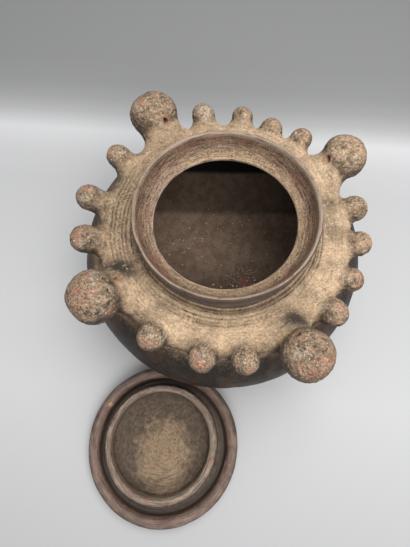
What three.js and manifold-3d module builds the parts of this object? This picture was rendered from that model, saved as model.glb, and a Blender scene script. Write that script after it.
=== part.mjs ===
// Libation jar: a squat hand-built jar with a crown of knobs round its shoulder, and its loose lid.
//
// Units are millimetres and +Z is up. The origin is the middle of the jar's flat base. The lid lies
// upside down beside the jar, on the same floor, as it was put down when it was taken off.
//
// The jar is made as the potter makes it: a bowl closed in to a shoulder, a rim luted on the bowl's
// flat neck, a coil laid round the shoulder, and eighteen knobs pressed over that coil. The four
// large knobs are hollow, and each has a vent hole. The lid is a disc with a rolled edge and a ring.

import * as THREE from 'three'
import { mergeVertices } from 'three/addons/utils/BufferGeometryUtils.js'
import Module from 'manifold-3d'

const wasm = await Module()
wasm.setup()

const degrees = THREE.MathUtils.degToRad

// Bowl
const bellyRadius = 143
const bellyHeight = 72
const shoulderRise = 81
const footRadius = 62
const footRound = 3
const wall = 8.5
const floorThickness = 9

// Rim: a narrow ledge round the throat that curves up into a steep collar with a rolled lip
const throatRadius = 65
const throatRise = 4.2
const mouthEase = 1
const rimFoot = 12
const ledgeWidth = 9
const ledgeRise = 3.4
const ledgeEase = 2
const collarHeight = 15
const collarLean = 4
const lipWidth = 4
const lipRise = 2.6
const neckDraw = 0.8
const throatRound = 2

// Coil round the shoulder
const bandInset = 35.5
const coilRadius = 10
const coilSink = 1.5
const bandFade = 13
const bandHeel = 11
const bandEdge = 0.8

// Knobs
const knobRise = degrees(36.5)
const largeReach = 34.4
const largeHead = 22
const largeHeel = 14
const smallReach = 20.5
const smallHead = 11
const smallHeel = 10
const smallRoot = 14.5
const smallWaist = 12.4
const smallFullness = 4
const knobWall = 6.5
const ventRadius = 2.2

// Lid, as it lies: its outer face down, its ring up
const lidInset = 3.4
const lidThickness = 8.5
const lidRestRadius = 36
const rollWidth = 11.6
const rollHeight = 12
const rollLift = 6
const grooveRound = 2.4
const ringClearance = 6.4
const ringWidth = 8
const ringHeight = 15.5
const ringShift = 2.5
const ringAzimuth = degrees(143)
const ringSeatMargin = 0.8
const ringLean = 0.8
const ringCrown = 4
const dishDepth = 1
const dishEdge = 6
const lidAzimuth = degrees(253.5)
const lidGap = 22

// Gap that the luting clay leaves between a piece and the curved surface that it is pressed on
const bedding = 0.3

// Steps round the axis
const turns = 46
const largeTurns = 18
const smallTurns = 12

// Each knob's direction round the jar, in degrees from +X, and what the potter's hand made of it.
// reach is how far it stands out, as a share of its kind's reach. head, root, waist and crown are
// the radii of its head, foot and neck and the length of the head's end, as shares of its kind's
// head. fullness is how far round the ball of the head shows before it runs into the neck.
const largeKnobs = [
  { azimuth: 31.5, reach: 0.94, head: 0.955, root: 1.14, waist: 1, crown: 0.91, fullness: 22 },
  { azimuth: 121.5, reach: 1, head: 1.06, root: 0.91, waist: 0.955, crown: 0.955, fullness: 20 },
  { azimuth: 213.4, reach: 0.94, head: 1.085, root: 0.885, waist: 0.91, crown: 0.975, fullness: 28 },
  { azimuth: 299, reach: 1.03, head: 0.985, root: 0.885, waist: 0.84, crown: 0.975, fullness: 32 }
]
const smallKnobs = [
  { azimuth: 8.5, reach: 0.9, head: 1.02 },
  { azimuth: 51.5, reach: 0.9, head: 0.965 },
  { azimuth: 66.4, reach: 0.73, head: 0.98 },
  { azimuth: 81.5, reach: 0.93, head: 0.965 },
  { azimuth: 100, reach: 1.02, head: 1.07 },
  { azimuth: 146, reach: 1.05, head: 1.035 },
  { azimuth: 169.5, reach: 1.29, head: 1.09 },
  { azimuth: 188.2, reach: 1.22, head: 1.19 },
  { azimuth: 240, reach: 0.855, head: 1.125 },
  { azimuth: 261.5, reach: 1, head: 1.055 },
  { azimuth: 277.7, reach: 1.05, head: 1.09 },
  { azimuth: 318.5, reach: 1, head: 1.11 },
  { azimuth: 334.5, reach: 0.95, head: 0.945 },
  { azimuth: 351.5, reach: 0.91, head: 1.02 }
]

// Where each large knob's vent comes out: its angle from the knob's axis towards the mouth, and its
// turn to one side
const vents = [
  { angle: 121, aside: -8 },
  { angle: 117, aside: 9 },
  { angle: 134, aside: 4 },
  { angle: 107, aside: 7 }
]

// Colours of the fired clay, with its dust and its burnished slip
const dustyClay = { color: 0xa3886c, roughness: 0.9 }
const burnishedClay = { color: 0x75594b, roughness: 0.55 }
const knobClay = { color: 0x9c8168, roughness: 0.85 }
const lidClay = { color: 0x6f5a4c, roughness: 0.65 }

// Points along part of an ellipse, in profile coordinates: x is the distance from the axis, y is up.
function arc(centreX, centreY, radiusX, radiusY, from, to, steps) {
  const points = []
  for (let i = 0; i <= steps; i++) {
    const angle = from + (to - from) * i / steps
    points.push(point(centreX + radiusX * Math.cos(angle), centreY + radiusY * Math.sin(angle)))
  }
  return points
}

function point(x, y) {
  return new THREE.Vector2(x, y)
}

// Points along a soft curve from a to d that leaves towards b and arrives from c.
function bend(a, b, c, d, steps) {
  return new THREE.CubicBezierCurve(a, b, c, d).getPoints(steps)
}

// A profile turned about an upright axis. It runs up the outside and down the inside.
function turned(profile, steps) {
  return new THREE.LatheGeometry(profile, steps).rotateX(Math.PI / 2)
}

function ring(profile) {
  return turned([...profile, profile[0].clone()], turns)
}

// A closed geometry as a solid that can be cut. Corners that coincide are merged first.
function solid(geometry) {
  geometry.deleteAttribute('normal')
  geometry.deleteAttribute('uv')
  const merged = mergeVertices(geometry, 1e-4)
  const corners = merged.index.array
  const kept = []
  for (let i = 0; i < corners.length; i += 3) {
    const [a, b, c] = corners.slice(i, i + 3)
    if (a !== b && b !== c && c !== a) kept.push(a, b, c)
  }
  return new wasm.Manifold(new wasm.Mesh({
    numProp: 3,
    vertProperties: merged.attributes.position.array,
    triVerts: Uint32Array.from(kept)
  }))
}

function geometryOf(shape) {
  const mesh = shape.getMesh()
  const geometry = new THREE.BufferGeometry()
  geometry.setAttribute('position', new THREE.BufferAttribute(mesh.vertProperties, 3))
  geometry.setIndex(new THREE.BufferAttribute(mesh.triVerts, 1))
  geometry.computeVertexNormals()
  return geometry
}

function piece(name, geometry, clay) {
  const mesh = new THREE.Mesh(geometry, new THREE.MeshStandardMaterial({ ...clay, metalness: 0 }))
  mesh.name = name
  return mesh
}

// Half-height of the ellipse under the belly that is footRadius wide at the floor
const underRise = bellyHeight / Math.sqrt(1 - (footRadius / bellyRadius) ** 2)

// Height of the shoulder's surface at a distance from the axis, raised by grow
function shoulderHeight(radius, grow = 0) {
  const across = radius / (bellyRadius + grow)
  return bellyHeight + (shoulderRise + grow) * Math.sqrt(1 - across ** 2)
}

// Distance of the belly's outside from the axis at a height below its widest part
function underRadius(height) {
  return bellyRadius * Math.sqrt(1 - ((bellyHeight - height) / underRise) ** 2)
}

const neckRadius = throatRadius + rimFoot
const neckSeat = shoulderHeight(neckRadius)
const mouthRadius = throatRadius + mouthEase

// The bowl's outside, from the middle of the base up to the neck, raised by grow
function bowlOutside(grow) {
  const footAngle = Math.asin((footRound - bellyHeight) / underRise)
  const neckAngle = Math.acos(neckRadius / (bellyRadius + grow))
  return [
    point(0, -grow),
    point(footRadius - footRound, -grow),
    ...arc(0, bellyHeight, bellyRadius + grow, underRise + grow, footAngle, 0, 8).slice(0, -1),
    ...arc(0, bellyHeight, bellyRadius + grow, shoulderRise + grow, 0, neckAngle, 11)
  ]
}

// The bowl: its mouth is open, and its neck ends in a flat seat for the rim.
function bowl() {
  const insideRadius = bellyRadius - wall
  const insideRise = shoulderRise - wall
  const insideUnder = underRise - wall
  const mouthAngle = Math.acos(mouthRadius / insideRadius)
  const floorAngle = Math.asin((floorThickness - bellyHeight) / insideUnder)
  return turned([
    ...bowlOutside(0),
    point(mouthRadius, neckSeat),
    ...arc(0, bellyHeight, insideRadius, insideRise, mouthAngle, 0, 7),
    ...arc(0, bellyHeight, insideRadius, insideUnder, 0, floorAngle, 6).slice(1),
    point(0, floorThickness)
  ], turns)
}

const throatHeight = neckSeat + throatRise
const ledgeRadius = throatRadius + ledgeWidth
const ledgeHeight = throatHeight + ledgeRise
const collarRadius = ledgeRadius + collarLean
const lipHeight = ledgeHeight + collarHeight
const lipRadius = collarRadius + lipWidth

// The rim's section: its flat foot, the outside drawn in above the foot and flared to the lip, the
// rolled lip, then the collar, which curves down to the rounded edge of the throat
function rim() {
  const waist = neckRadius - neckDraw
  const half = collarHeight / 2
  const outside = [
    point(waist, throatHeight),
    point(waist, ledgeHeight + half / 2),
    point(lipRadius, lipHeight - half),
    point(lipRadius, lipHeight)
  ]
  const collar = [
    point(collarRadius, lipHeight),
    point(collarRadius - neckDraw, lipHeight - half),
    point(ledgeRadius + ledgeEase, ledgeHeight),
    point(throatRadius + throatRound, throatHeight)
  ]
  return ring([
    point(neckRadius, neckSeat),
    ...bend(...outside, 4),
    ...arc(lipRadius - lipWidth / 2, lipHeight, lipWidth / 2, lipRise, 0, Math.PI, 4).slice(1),
    ...bend(...collar, 4).slice(1),
    ...arc(throatRadius + throatRound, throatHeight - throatRound, throatRound, throatRound,
      Math.PI / 2, Math.PI, 2).slice(1),
    point(mouthRadius, neckSeat)
  ])
}

const bandRadius = bellyRadius - bandInset
const bandHeight = shoulderHeight(bandRadius) - coilSink

// The outside of the coil, from its heel under the overhang over the top to where it fades into
// the shoulder, raised by grow
function bandOutside(grow) {
  const heel = bandRadius + bandHeel
  const fade = bandRadius - bandFade
  const edge = bedding + bandEdge + grow
  return [
    point(heel + grow, shoulderHeight(heel, edge)),
    ...arc(bandRadius, bandHeight, coilRadius + grow, coilRadius + grow, degrees(-20), degrees(105), 5),
    point(fade - grow, shoulderHeight(fade, edge))
  ]
}

// The coil: its underside follows the shoulder that it is pressed on.
function band() {
  const across = bellyRadius + bedding
  const from = Math.acos((bandRadius - bandFade) / across)
  const to = Math.acos((bandRadius + bandHeel) / across)
  return ring([
    ...bandOutside(0),
    ...arc(0, bellyHeight, across, shoulderRise + bedding, from, to, 5)
  ])
}

// What every knob is pressed on: the shoulder and the coil, with the bedding gap added
function knobBed() {
  const bowlFilled = solid(turned([...bowlOutside(bedding), point(0, neckSeat)], turns))
  const outside = bandOutside(bedding)
  const under = [outside.at(-1), outside[0]].map(({ x }) => point(x, bellyHeight))
  return bowlFilled.add(solid(ring([...outside, ...under])))
}

// A knob's profile along its own axis, which starts in the middle of the coil and leans outwards:
// a rounded heel buried in the coil, a neck, and a round head
function knobProfile({ heel, root, waist, head, crown, reach, fullness, steps }) {
  const start = degrees(-fullness)
  const joint = point(head * Math.cos(start), reach + head * Math.sin(start))
  const pull = joint.y / 3
  const tangent = point(joint.x + pull * Math.sin(start), joint.y - pull * Math.cos(start))
  const neck = [point(root, 0), point(waist, pull), tangent, joint]
  return [
    ...arc(0, 0, root, heel, -Math.PI / 2, 0, 2),
    ...bend(...neck, steps).slice(1, -1),
    ...arc(0, reach, head, head, start, 0, steps - 2),
    ...arc(0, reach, head, crown, 0, Math.PI / 2, steps).slice(1)
  ]
}

// Leans a shape that stands on its own axis outwards and puts it on the coil at an azimuth.
function onBand(geometry, azimuth) {
  return geometry
    .rotateX(knobRise)
    .translate(0, bandRadius, bandHeight)
    .rotateZ(degrees(azimuth) - Math.PI / 2)
}

const bed = knobBed()

function largeKnob({ azimuth, fullness, ...shares }, vent) {
  const [head, root, waist, crown] = [shares.head, shares.root, shares.waist, shares.crown]
    .map((share) => share * largeHead)
  const reach = largeReach * shares.reach
  const body = new THREE.LatheGeometry(
    knobProfile({ heel: largeHeel, root, waist, head, crown, reach, fullness, steps: 5 }), largeTurns)
  const hollow = new THREE.SphereGeometry(head - knobWall, 10, 6)
  hollow.scale(1, (crown - knobWall) / (head - knobWall), 1).translate(0, reach, 0)
  const ventLength = head + 2 * knobWall
  const hole = new THREE.CylinderGeometry(ventRadius, ventRadius, ventLength, 8)
  hole.translate(0, ventLength / 2, 0).rotateX(degrees(vent.angle)).rotateY(degrees(vent.aside))
  hole.translate(0, reach, 0)
  return solid(onBand(body, azimuth))
    .subtract(solid(onBand(hollow, azimuth)))
    .subtract(solid(onBand(hole, azimuth)))
    .subtract(bed)
}

function smallKnob({ azimuth, ...shares }) {
  const head = smallHead * shares.head
  const reach = smallReach * shares.reach
  const sizes = { heel: smallHeel, root: smallRoot, waist: smallWaist, head, crown: head, reach }
  const profile = knobProfile({ ...sizes, fullness: smallFullness, steps: 3 })
  return solid(onBand(new THREE.LatheGeometry(profile, smallTurns), azimuth)).subtract(bed)
}

const lidRadius = lipRadius - lidInset
const rollInner = lidRadius - rollWidth
const rollTop = rollLift + rollHeight
const ringOuter = throatRadius - ringClearance
const ringInner = ringOuter - ringWidth
const seatOuter = ringOuter + ringShift + ringSeatMargin
const seatInner = ringInner - ringShift - ringSeatMargin

// The lid's disc: a flat rest in the middle of the outer face, a gentle rise to the rolled edge,
// then over the roll, down into the groove, and across the flat seat of the ring to the dish
function lidPlate() {
  const roll = arc(rollInner + rollWidth / 2, rollLift + rollHeight / 2, rollWidth / 2,
    rollHeight / 2, degrees(-110), degrees(155), 8)
  const face = (roll[0].x - lidRestRadius) / 2
  const outerFace = [
    point(lidRestRadius, 0),
    point(lidRestRadius + face, 0),
    point(roll[0].x - face / 2, roll[0].y / 2),
    roll[0]
  ]
  const dishFloor = lidThickness - dishDepth
  const dish = [
    point(seatInner, lidThickness),
    point(seatInner - dishEdge / 2, lidThickness),
    point(seatInner - dishEdge / 2, dishFloor),
    point(seatInner - dishEdge, dishFloor)
  ]
  return turned([
    point(0, 0),
    ...bend(...outerFace, 4),
    ...roll.slice(1),
    point(rollInner, lidThickness + grooveRound),
    point(rollInner - grooveRound / 2, lidThickness + grooveRound / 4),
    point(seatOuter, lidThickness),
    ...bend(...dish, 3),
    point(0, dishFloor)
  ], turns)
}

// The ring that keeps the lid in the throat: a flat foot, leaning sides and a rounded top
function lidRing() {
  const crownHeight = lidThickness + ringHeight - ringCrown
  const crownWidth = ringWidth / 2 - ringLean
  return ring([
    point(ringOuter, lidThickness),
    ...arc((ringInner + ringOuter) / 2, crownHeight, crownWidth, ringCrown, 0, Math.PI, 5),
    point(ringInner, lidThickness)
  ])
}

const jar = new THREE.Group()
jar.add(piece('jar_body', bowl(), dustyClay))
jar.add(piece('rim', rim(), burnishedClay))
jar.add(piece('knob_band', band(), dustyClay))
largeKnobs.forEach((knob, i) => {
  jar.add(piece(`large_knob_${i + 1}`, geometryOf(largeKnob(knob, vents[i])), knobClay))
})
smallKnobs.forEach((knob, i) => {
  const number = String(i + 1).padStart(2, '0')
  jar.add(piece(`small_knob_${number}`, geometryOf(smallKnob(knob)), knobClay))
})

const lid = new THREE.Group()
const lidDistance = underRadius(rollTop) + lidGap + lidRadius
lid.position.set(lidDistance * Math.cos(lidAzimuth), lidDistance * Math.sin(lidAzimuth), 0)
lid.add(piece('lid_plate', lidPlate(), lidClay))
const locatingRing = piece('lid_ring', lidRing(), lidClay)
locatingRing.position.set(ringShift * Math.cos(ringAzimuth), ringShift * Math.sin(ringAzimuth), 0)
lid.add(locatingRing)

const object = new THREE.Group()
object.add(jar, lid)

export default object
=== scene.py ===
# %% [markdown]
# # A libation jar with its crown of knobs
#
# The jar is a squat bowl of low-fired clay. It closes in to a shoulder, and its wide mouth has a
# flared rim. A coil runs round the shoulder, and eighteen knobs are pressed over it: four large
# hollow ones with vent holes, and fourteen small ones like fingers. Its lid lies beside it, upside
# down, as it was put down.
#
# Every surface here is worked out with numpy as a grid of points, in millimetres, and is then put
# into a Blender mesh in metres. The clay's finish comes after the shapes.

# %% Load the frame
import math

import bmesh
import bpy
import numpy as np
from mathutils import Matrix, Vector


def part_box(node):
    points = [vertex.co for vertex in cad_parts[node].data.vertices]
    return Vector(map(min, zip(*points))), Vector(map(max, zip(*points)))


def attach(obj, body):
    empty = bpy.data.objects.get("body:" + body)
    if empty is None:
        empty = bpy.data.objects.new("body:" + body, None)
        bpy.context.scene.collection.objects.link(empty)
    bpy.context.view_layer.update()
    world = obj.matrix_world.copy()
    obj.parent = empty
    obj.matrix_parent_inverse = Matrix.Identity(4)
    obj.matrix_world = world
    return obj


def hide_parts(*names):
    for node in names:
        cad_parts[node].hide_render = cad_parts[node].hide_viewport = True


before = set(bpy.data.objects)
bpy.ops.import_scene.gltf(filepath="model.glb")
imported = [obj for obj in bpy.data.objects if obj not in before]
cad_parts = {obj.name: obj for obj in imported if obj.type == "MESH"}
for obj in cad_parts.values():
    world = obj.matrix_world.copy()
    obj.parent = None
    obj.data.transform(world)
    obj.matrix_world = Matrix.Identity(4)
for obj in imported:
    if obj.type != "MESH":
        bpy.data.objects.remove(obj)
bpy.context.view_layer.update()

MM = 0.001


def extent(node):
    """Lowest and highest corner of a solid of the frame, in millimetres."""
    low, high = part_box(node)
    return np.array(low) / MM, np.array(high) / MM


def radius_of(node):
    """Half of a turned solid's width along Y, where its facets have a corner."""
    low, high = extent(node)
    return (high[1] - low[1]) / 2


BELLY_RADIUS = radius_of("jar_body")
NECK_HEIGHT = extent("jar_body")[1][2]
LIP_RADIUS = radius_of("rim")
LIP_TOP = extent("rim")[1][2]
LID_RADIUS = radius_of("lid_plate")
RING_RADIUS = radius_of("lid_ring")
LID_CENTRE = np.mean(extent("lid_plate"), axis=0)[:2]
RING_CENTRE = np.mean(extent("lid_ring"), axis=0)[:2]
print(f"belly {BELLY_RADIUS:.1f}, lip {LIP_RADIUS:.1f} at {LIP_TOP:.1f}, lid {LID_RADIUS:.1f} mm")

# %% [markdown]
# ## The camera
#
# The photograph looks steeply down: the camera stands in front of the jar, 456 mm above the floor,
# and is tipped 19 degrees forward from straight down. A camera could be aimed with a Track To
# constraint. Here its three axes are written out as a matrix, because the small roll of the hand
# that held it is then just one more turn.

# %% Place the camera
CAMERA_PLACE = (-17.4, -158.9, 455.8)
CAMERA_TIP = math.radians(18.99)
CAMERA_ROLL = math.radians(0.97)
FOCAL_PIXELS = 384.0
IMAGE_HEIGHT = 547
SENSOR = 36.0
NEAREST = 0.01


def new_object(name, data):
    """An object in the scene that shows a camera, a lamp or a mesh."""
    obj = bpy.data.objects.new(name, data)
    bpy.context.scene.collection.objects.link(obj)
    return obj


forward = Vector((0, math.sin(CAMERA_TIP), -math.cos(CAMERA_TIP)))
level = Vector((1, 0, 0))
upward = level.cross(forward)
right = math.cos(CAMERA_ROLL) * level + math.sin(CAMERA_ROLL) * upward
above = math.cos(CAMERA_ROLL) * upward - math.sin(CAMERA_ROLL) * level

lens = bpy.data.cameras.new("camera")
lens.sensor_width = SENSOR
lens.lens = SENSOR * FOCAL_PIXELS / IMAGE_HEIGHT
lens.clip_start = NEAREST
camera = new_object("camera", lens)
turn = Matrix((right, above, -forward)).transposed().to_4x4()
camera.matrix_world = Matrix.Translation(Vector(CAMERA_PLACE) * MM) @ turn
bpy.context.scene.camera = camera
bpy.context.scene.view_settings.view_transform = "Standard"
print(f"lens {lens.lens:.2f} mm")

# %% [markdown]
# ## The light
#
# The photograph has soft studio light from wide lamps overhead and in front, and pale walls all
# round that fill every shadow. A picture of a studio round the whole scene would light it so. Two
# wide area lamps and a world of even grey need no such file: the lamps give the faint shadows on
# the floor and the sheen on the lip, and the world gives the fill. Lamps are placed in metres.

# %% Hang the lamps and fill the room
ROOM_LEVEL, ROOM_TINT = 0.42, (0.97, 0.98, 1.0, 1.0)
LAMP_TINT = (1.0, 0.985, 0.96)
LAMPS = (
    {"name": "overhead_lamp", "place": (0.22, 0.12, 1.20), "size": (1.0, 0.7), "power": 8.5},
    {"name": "front_lamp", "place": (0.25, -0.88, 1.00), "size": (1.1, 0.7), "power": 7.6},
)
LAMP_AIM = (0.0, -0.05, 0.05)

world = bpy.data.worlds.new("studio")
bpy.context.scene.world = world
world.use_nodes = True
fill = world.node_tree.nodes["Background"]
fill.inputs["Color"].default_value = ROOM_TINT
fill.inputs["Strength"].default_value = ROOM_LEVEL

for entry in LAMPS:
    light = bpy.data.lights.new(entry["name"], "AREA")
    light.shape = "RECTANGLE"
    light.size, light.size_y = entry["size"]
    light.energy = entry["power"]
    light.color = LAMP_TINT
    lamp = new_object(entry["name"], light)
    lamp.location = entry["place"]
    from_aim = Vector(entry["place"]) - Vector(LAMP_AIM)
    lamp.rotation_euler = from_aim.to_track_quat("Z", "Y").to_euler()
    print(f"{entry['name']} of {entry['power']:g} W")

# %% [markdown]
# ## The floor
#
# The jar stands on a pale sheet that runs up behind it into shade. A curved sweep would show that
# shade by itself, but it would stand in the way of every other view. So the sheet is one large flat
# face here, and its finish, near the end of this file, has the shade in its colour.

# %% Lay the floor
FLOOR_HALF = 4000.0
FLOOR_DROP = 0.1
FLOOR_CORNERS = ((-1, -1), (1, -1), (1, 1), (-1, 1))

floor_mesh = bpy.data.meshes.new("floor")
floor_mesh.from_pydata(
    [(x * FLOOR_HALF * MM, y * FLOOR_HALF * MM, -FLOOR_DROP * MM) for x, y in FLOOR_CORNERS],
    [], [(0, 1, 2, 3)])
floor = new_object("floor", floor_mesh)
print(f"floor {2 * FLOOR_HALF * MM:g} m wide")

# %% [markdown]
# ## From a grid of points to a mesh
#
# Each piece is a grid: its columns go round the piece and its rows go along its profile, up the
# outside and down the inside. Neighbours in the grid are joined by four-sided faces. A row that
# lies on the axis has all its points in one place, and these are merged into one, so the pole is
# closed with triangles.
#
# Blender has Spin and Screw tools for turned shapes. A grid from numpy does the same, and it also
# lets each point be moved by a formula before the mesh is made.

# %% Grid to mesh
MERGE = 1e-7


def grid_faces(rows, columns, closed=False):
    """Faces of a grid whose columns wrap round; with closed, its last row joins its first."""
    last = rows if closed else rows - 1
    row, column = np.meshgrid(np.arange(last), np.arange(columns), indexing="ij")
    after, beside = (row + 1) % rows, (column + 1) % columns
    corners = (row * columns + column, row * columns + beside,
               after * columns + beside, after * columns + column)
    return np.stack(corners, axis=-1).reshape(-1, 4)


def make_piece(name, grid, closed=False):
    """A smooth-shaded object from a grid of rows, columns and three coordinates in millimetres."""
    mesh = bpy.data.meshes.new(name)
    faces = grid_faces(*grid.shape[:2], closed)
    mesh.from_pydata((grid.reshape(-1, 3) * MM).tolist(), [], faces.tolist())
    work = bmesh.new()
    work.from_mesh(mesh)
    bmesh.ops.remove_doubles(work, verts=work.verts, dist=MERGE)
    work.to_mesh(mesh)
    work.free()
    mesh.shade_smooth()
    print(f"{name}: {len(mesh.vertices)} points, {len(mesh.polygons)} faces")
    return new_object(name, mesh)


print("a small tube of 3 rows and 4 columns has the faces", grid_faces(3, 4).tolist())

# %% [markdown]
# ## Profiles
#
# A turned piece is drawn as a profile: distances from the axis and heights. Straight stretches,
# parts of ellipses and soft curves are put end to end. Then the profile is cut into even steps, and
# each point is averaged with its neighbours, which rounds the corners as a wet hand does.

# %% Profile helpers
TINY = 1e-9


def smooth(values, start, end):
    """A soft step: 0 before start, 1 after end, and 3 t^2 - 2 t^3 between them."""
    t = np.clip((values - start) / (end - start), 0, 1)
    return t * t * (3 - 2 * t)


def ellipse(centre, radii, start, end, steps):
    """Points of an ellipse: centre plus (a cos t, b sin t), with t from start to end."""
    t = np.linspace(start, end, steps + 1)
    return np.stack([centre[0] + radii[0] * np.cos(t), centre[1] + radii[1] * np.sin(t)], axis=-1)


def bend(a, b, c, d, steps):
    """A cubic curve from a to d that leaves towards b and arrives from c."""
    t = np.linspace(0, 1, steps + 1)[:, None]
    a, b, c, d = map(np.array, (a, b, c, d))
    return (1 - t)**3 * a + 3 * (1 - t)**2 * t * b + 3 * (1 - t) * t**2 * c + t**3 * d


def line(a, b, steps):
    """Points of a straight stretch: a + t (b - a), with t from 0 to 1."""
    t = np.linspace(0, 1, steps + 1)[:, None]
    return np.array(a) + t * (np.array(b) - np.array(a))


def join(*stretches):
    """Stretches put end to end, without the points where they meet twice."""
    kept = [stretches[0]] + [s[1:] for s in stretches[1:]]
    return np.vstack(kept)


def evenly(profile, step):
    """The same line cut into even steps, by interpolation along its length."""
    lengths = np.hypot(*np.diff(profile, axis=0).T)
    along = np.concatenate([[0], np.cumsum(lengths)])
    cuts = np.linspace(0, along[-1], int(round(along[-1] / step)) + 1)
    return np.stack([np.interp(cuts, along, profile[:, i]) for i in (0, 1)], axis=-1)


def soften(profile, reach):
    """A closed profile whose points are each averaged over reach neighbours on either side, with
    weights that fall off as a bell."""
    offsets = np.arange(-2 * reach, 2 * reach + 1)
    weights = np.exp(-(offsets / reach) ** 2)
    weights /= weights.sum()
    return sum(w * np.roll(profile, k, axis=0) for w, k in zip(weights, offsets))


def unit(vectors):
    """Each vector divided by its length, or by a tiny number where it has none."""
    return vectors / np.maximum(np.linalg.norm(vectors, axis=-1, keepdims=True), TINY)


def turns(count):
    """Even angles round a full turn."""
    return np.arange(count) * math.tau / count


def turned(profile, columns, centre=(0, 0)):
    """A profile carried round an upright axis: (r cos t, r sin t, z), and the normals, which are
    the profile's direction turned by a right angle."""
    t = turns(columns)
    slope = unit(np.gradient(profile, axis=0))
    r, z = profile[:, :1], profile[:, 1:]
    out, up = slope[:, 1:], -slope[:, :1]
    flat = np.zeros(columns)
    points = np.stack([centre[0] + r * np.cos(t), centre[1] + r * np.sin(t), z + flat], axis=-1)
    normals = np.stack([out * np.cos(t), out * np.sin(t), up + flat], axis=-1)
    return points, normals


def around(points, centre=(0, 0)):
    """Distance of each point from an upright axis: the root of x^2 + y^2."""
    return np.hypot(points[..., 0] - centre[0], points[..., 1] - centre[1])


quarter = ellipse((0, 0), (1, 1), 0, math.pi / 2, 2)
print("a quarter circle in two steps:", quarter.round(2).tolist())

# %% [markdown]
# ## The hand in the clay
#
# Nothing on this jar is a true circle. A slow noise sways every point by up to a millimetre, and
# because it depends only on the place, pieces that touch stay together. Finer noises raise and
# lower the skin itself. Blender's Displace modifier with a cloud texture could do this. Here it is
# value noise in numpy: random numbers on a lattice, blended between the corners of each cell.

# %% Noise, sway and skin
LATTICE = 32
SWAY = 1.1
SWAY_SIZE = 85.0
SWAY_SEEDS = (11, 12, 13)
SWAY_START = 25.0
LUMPS = ((13.0, 0.32, 21), (4.2, 0.13, 22))


def grain(points, size, seed):
    """Noise from -1 to 1 whose lattice has cells of that size: eight corner values, each weighted
    by the product of three soft steps."""
    lattice = np.random.default_rng(seed).uniform(-1, 1, (LATTICE,) * 3)
    cell = np.asarray(points) / size
    low = np.floor(cell).astype(int)
    t = smooth(cell - low, 0, 1)
    total = 0
    for corner in np.ndindex(2, 2, 2):
        weight = np.prod(np.where(corner, t, 1 - t), axis=-1)
        i, j, k = np.moveaxis((low + corner) % LATTICE, -1, 0)
        total = total + weight * lattice[i, j, k]
    return total


def rough(points, *grains):
    """Sum of noises, each with its size, its height in millimetres and its seed."""
    return sum(height * grain(points, size, seed) for size, height, seed in grains)


def sway(points):
    """The points moved by three slow noises, which fade out towards the floor."""
    keep = smooth(points[..., 2], 0, SWAY_START)
    moves = [SWAY * keep * grain(points, SWAY_SIZE, seed) for seed in SWAY_SEEDS]
    return points + np.stack(moves, axis=-1)


lip_right = np.array([LIP_RADIUS, 0, LIP_TOP])
print("the lip's right end sways by", (sway(lip_right) - lip_right).round(2).tolist(), "mm")

# %% [markdown]
# ## Turning lines
#
# Where the potter steadied the shoulder with a wet edge, fine rings are cut into it: close
# under the lip at the front, and wider apart on the left. Each ring is a shallow groove, a bell
# curve of the distance from the axis, and it fades out along the circle as another bell curve.

# %% Grooves on the shoulder
GROOVE_GROUPS = (
    {"radii": (79.4, 82.9, 85.3, 89.8, 93.1, 95.6), "azimuth": 262.0, "spread": 42.0},
    {"radii": (80.4, 84.2, 87.0), "azimuth": 305.0, "spread": 40.0},
    {"radii": (87.6, 92.2, 95.4, 98.8, 102.4, 105.6), "azimuth": 176.0, "spread": 36.0},
    {"radii": (86.5, 88.8, 91.5), "azimuth": 350.0, "spread": 40.0},
)
GROOVE_WIDTH = 0.85
GROOVE_DEPTH = 1.6
GROOVE_WANDER = (45.0, 0.9, 31)
GROOVE_UNEVEN = (13.0, 0.3, 32)
GROOVE_MEAN = 0.8
GROOVE_START = (112.0, 118.0)


def turn_from(points, azimuth):
    """Degrees from an azimuth to each point's direction from the jar's axis, -180 to 180."""
    turn = np.degrees(np.arctan2(points[..., 1], points[..., 0])) - azimuth
    return (turn + 180) % 360 - 180


def groove_share(points, outward=0.0):
    """How deep in a groove a point lies, from 0 to 1; outward moves every groove that far."""
    radius = around(points) - outward + rough(points, GROOVE_WANDER)
    share = 0
    for group in GROOVE_GROUPS:
        strength = np.exp(-(turn_from(points, group["azimuth"]) / group["spread"]) ** 2)
        for place in group["radii"]:
            share = share + strength * np.exp(-((radius - place) / GROOVE_WIDTH) ** 2)
    uneven = GROOVE_MEAN + rough(points, GROOVE_UNEVEN)
    return np.clip(share, 0, 1) * uneven * smooth(points[..., 2], *GROOVE_START)


def skin(points):
    """Height of the jar's outer skin over the smooth shape: lumps less the grooves."""
    return rough(points, *LUMPS) - GROOVE_DEPTH * groove_share(sway(points))


def dressed(points, normals, height):
    """The points raised along their normals, then swayed."""
    return sway(points + normals * height[..., None])


print(sum(len(group["radii"]) for group in GROOVE_GROUPS), "grooves")

# %% [markdown]
# ## The bowl
#
# The bowl is one closed surface: base, belly, shoulder, the flat neck that carries the rim, and the
# inside down to the floor. The belly is two half ellipses with the same width.
#
# A drawn curve with a Screw modifier would do, but its rows would be evenly spaced. Here rows lie
# close together under the lip, where the turning lines are, and further apart where a coil hides
# them.

# %% Make the bowl
BELLY_HEIGHT = 72.0
FOOT_RADIUS, FOOT_ROUND = 62.0, 3.0
WALL = 8.5
FLOOR_THICKNESS = 9.0
THROAT_RADIUS = 65.0
MOUTH_EASE = 1.0
RIM_FOOT = 12.0
GROOVED_WIDTH = 35
BOWL_COLUMNS = 432
NECK_ROWS = 3
FLAT_BASE = (0, 6)
HAND_MARKS = (22.0, 0.5, 41)

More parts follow.
